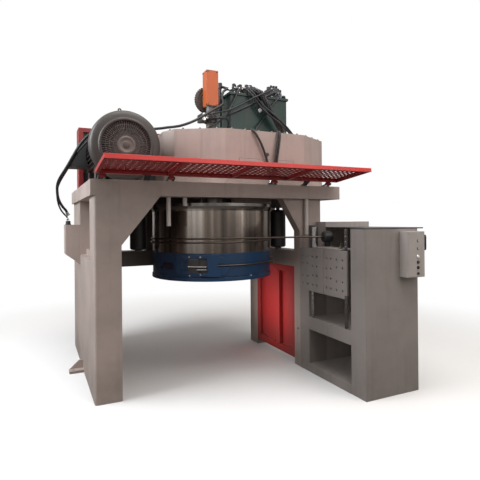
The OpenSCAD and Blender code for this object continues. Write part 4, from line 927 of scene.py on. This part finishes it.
extra_routes = {
    "cables_to_box_left": (0.011, [
        (1.672, 0.690, 2.896), (1.672, 0.660, 2.896), (1.680, 0.625, 2.886), (1.697, 0.594, 2.860),
        (1.722, 0.570, 2.820), (1.756, 0.556, 2.770), (1.800, 0.546, 2.712), (1.851, 0.532, 2.655),
        (1.920, 0.510, 2.592), (1.985, 0.494, 2.545), (2.050, 0.488, 2.497), (2.130, 0.496, 2.440),
        (2.200, 0.508, 2.393), (2.250, 0.514, 2.362), (2.292, 0.516, 2.342)]),
    "cables_to_box_right": (0.011, [
        (1.700, 0.690, 2.908), (1.700, 0.662, 2.908), (1.708, 0.628, 2.898), (1.725, 0.598, 2.874),
        (1.748, 0.575, 2.840), (1.780, 0.561, 2.793), (1.824, 0.551, 2.735), (1.876, 0.526, 2.678),
        (1.942, 0.500, 2.616), (2.004, 0.490, 2.568), (2.068, 0.490, 2.519), (2.146, 0.502, 2.462),
        (2.212, 0.524, 2.412), (2.258, 0.542, 2.378), (2.292, 0.552, 2.352)]),
    "hose_under_motor": (0.010, [
        (1.440, 0.640, 2.310), (1.442, 0.640, 2.345), (1.450, 0.628, 2.392), (1.458, 0.602, 2.440),
        (1.450, 0.570, 2.490), (1.424, 0.540, 2.516), (1.388, 0.526, 2.523), (1.340, 0.516, 2.520),
        (1.300, 0.510, 2.512), (1.240, 0.500, 2.504), (1.205, 0.497, 2.500), (1.166, 0.497, 2.500)]),
    "hose_to_cover": (0.009, [
        (1.605, 0.690, 2.900), (1.605, 0.664, 2.900), (1.596, 0.628, 2.884), (1.570, 0.600, 2.826),
        (1.529, 0.590, 2.734), (1.472, 0.575, 2.640), (1.416, 0.558, 2.560), (1.361, 0.548, 2.505),
        (1.300, 0.527, 2.462), (1.226, 0.512, 2.420), (1.165, 0.506, 2.376), (1.136, 0.505, 2.340),
        (1.132, 0.505, 2.310)]),
    "hose_to_clamp": (0.008, [
        (2.046, 0.684, 2.936), (2.044, 0.664, 2.936), (2.020, 0.620, 2.924), (1.965, 0.575, 2.893),
        (1.900, 0.535, 2.858), (1.850, 0.512, 2.832), (1.800, 0.506, 2.806), (1.740, 0.508, 2.776),
        (1.680, 0.520, 2.742), (1.622, 0.540, 2.708), (1.540, 0.553, 2.664), (1.476, 0.550, 2.632),
        (1.401, 0.538, 2.600), (1.300, 0.508, 2.566), (1.240, 0.492, 2.544), (1.200, 0.487, 2.534),
        (1.180, 0.487, 2.533), (1.166, 0.487, 2.533)]),
    "hose_tank_front": (0.009, [
        (2.124, 0.684, 2.900), (2.124, 0.660, 2.900), (2.114, 0.622, 2.880), (2.086, 0.598, 2.832),
        (2.044, 0.594, 2.790), (2.006, 0.598, 2.748), (1.960, 0.604, 2.685), (1.916, 0.606, 2.620),
        (1.862, 0.600, 2.550), (1.806, 0.582, 2.485), (1.770, 0.567, 2.430), (1.751, 0.560, 2.370),
        (1.746, 0.558, 2.310)]),
    "hose_front_middle": (0.008, [
        (1.765, 0.560, 2.350), (1.765, 0.500, 2.350), (1.762, 0.400, 2.340), (1.754, 0.280, 2.328),
        (1.744, 0.150, 2.322), (1.740, 0.080, 2.322), (1.738, 0.050, 2.322), (1.737, 0.040, 2.318),
        (1.734, 0.034, 2.308), (1.725, 0.025, 2.260), (1.711, 0.020, 2.180), (1.694, 0.023, 2.060),
        (1.684, 0.032, 1.940), (1.677, 0.036, 1.850), (1.677, 0.036, 1.815)]),
    "cable_motor": (0.008, [
        (0.352, 0.650, 2.368), (0.320, 0.650, 2.370), (0.270, 0.648, 2.366), (0.215, 0.642, 2.344),
        (0.160, 0.638, 2.306), (0.105, 0.642, 2.256), (0.040, 0.652, 2.192), (-0.018, 0.668, 2.126),
        (-0.060, 0.690, 2.058), (-0.098, 0.722, 1.988), (-0.132, 0.766, 1.926), (-0.164, 0.830, 1.870),
        (-0.188, 0.905, 1.815), (-0.199, 0.990, 1.752), (-0.188, 1.085, 1.665), (-0.162, 1.165, 1.595),
        (-0.128, 1.222, 1.548), (-0.095, 1.246, 1.515), (-0.085, 1.250, 1.480)]),
}


def eased_line(points, steps=8):
    """A smooth line through points: between two of them, a cubic whose slope at each is half the step
    from the point before to the point after."""
    p = np.vstack([2 * points[0] - points[1], points, 2 * points[-1] - points[-2]])
    t = np.linspace(0, 1, steps, endpoint=False)[None, :, None]
    a, b, c, d = (p[i:len(p) - 3 + i, None, :] for i in range(4))
    curve = 0.5 * (2 * b + (c - a) * t + (2 * a - 5 * b + 4 * c - d) * t**2 + (3 * b - a - 3 * c + d) * t**3)
    return np.vstack([curve.reshape(-1, 3), points[-1]])


def reach_along(line):
    """How far along the line each of its points lies."""
    return np.concatenate([[0], np.cumsum(np.linalg.norm(np.diff(line, axis=0), axis=1))])


def carried_axes(line):
    """Two axes square to the line at each of its points, carried along it without twist."""
    along = np.gradient(line, axis=0)
    along /= np.linalg.norm(along, axis=1)[:, None]
    side, sides = np.cross(along[0], (0, 0, 1)), []
    for step in along:
        side = side - np.dot(side, step) * step
        side /= np.linalg.norm(side)
        sides.append(side)
    return np.array(sides), np.cross(along, sides)


def even_line(line, gap):
    """The same line with points at even steps of about that gap along it."""
    reach = reach_along(line)
    at = np.linspace(0, reach[-1], max(2, int(reach[-1] / gap) + 1))
    return np.column_stack([np.interp(at, reach, line[:, k]) for k in range(3)])


def strands_round(line, count, spread, lay_length):
    """Lines that wind round a line: strand i lies spread away from it at the angle
    2 pi (i / count + reach / lay_length), in the carried axes."""
    sides, others = carried_axes(line)
    turn = 2 * math.pi * (np.arange(count)[:, None] / count + reach_along(line)[None, :] / lay_length)
    return [line + spread * (np.cos(t)[:, None] * sides + np.sin(t)[:, None] * others) for t in turn]


def round_cord(name, line, radius):
    """A curve object along the line, with a round section and closed ends."""
    data = bpy.data.curves.new(name, "CURVE")
    data.dimensions = "3D"
    spline = data.splines.new("POLY")
    spline.points.add(len(line) - 1)
    spline.points.foreach_set("co", np.column_stack([line, np.ones(len(line))]).ravel())
    data.bevel_depth = radius
    data.bevel_resolution = 4
    data.use_fill_caps = True
    data.materials.append(rubber)
    cord = bpy.data.objects.new(name, data)
    bpy.context.scene.collection.objects.link(cord)
    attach(cord, "root")
    return cord


def strand(line, radius, steps=10):
    """A round strand along a line, as a part with closed ends: ring i lies round point i, in the
    carried axes."""
    turn = np.arange(steps)[None, :, None] * 2 * math.pi / steps
    sides, others = (axes[:, None, :] for axes in carried_axes(line))
    points = line[:, None, :] + radius * (np.cos(turn) * sides + np.sin(turn) * others)
    faces = [[i * steps + k, i * steps + (k + 1) % steps, (i + 1) * steps + (k + 1) % steps, (i + 1) * steps + k]
             for i in range(len(line) - 1) for k in range(steps)]
    last = (len(line) - 1) * steps
    faces += [list(range(steps))[::-1], [last + k for k in range(steps)]]
    return points.reshape(-1, 3), faces


fitting_parts = []
for name, (radius, route) in {**hose_routes, **extra_routes}.items():
    line = even_line(eased_line(np.array(route) - machine_corner), 2.2 * 2 * radius)
    if name == "hose_bundle":
        line = even_line(line, 0.03)
        thin = radius / 3
        lines = [line] + strands_round(line, 6, radius - thin, 0.55)
        hose = piece(name + "_cables", "root", [rubber], [strand(one, thin) for one in lines])
        for share in (0.22, 0.48, 0.74):
            at = int(share * (len(line) - 1))
            near, far = radius + 0.0005, radius + 0.003
            tie = [(near, -0.003), (far, -0.003), (far, 0.003), (near, 0.003)]
            fitting_parts.append((*turned(tie, line[at], line[at + 1] - line[at - 1], 32, closed=True), 1))
    else:
        hose = round_cord(name + "_rubber", line, radius)
    if name in hose_routes:
        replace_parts(hose, name)
    for end, inner in ((line[0], line[1]), (line[-1], line[-2])):
        along = (inner - end) / np.linalg.norm(inner - end)
        wide, nut = radius + 0.0025, 1.32 * radius / math.cos(math.pi / 6)
        sleeve = [(wide, 0), (wide, 2.6 * radius), (radius + 0.0008, 2.9 * radius)]
        hexagon = [(nut, 0), (nut, 0.9 * radius)]
        if name != "hose_bundle":
            fitting_parts += [(*turned(sleeve, end - 0.2 * radius * along, along, 24), 0),
                              (*turned(hexagon, end - 0.2 * radius * along, along, 6), 0)]
fitting_parts += [(*block(spot(352, 628, 2338), spot(408, 674, 2388), 0.003), 1)]
piece("hose_ends", "root", [plated, plastic], fitting_parts)
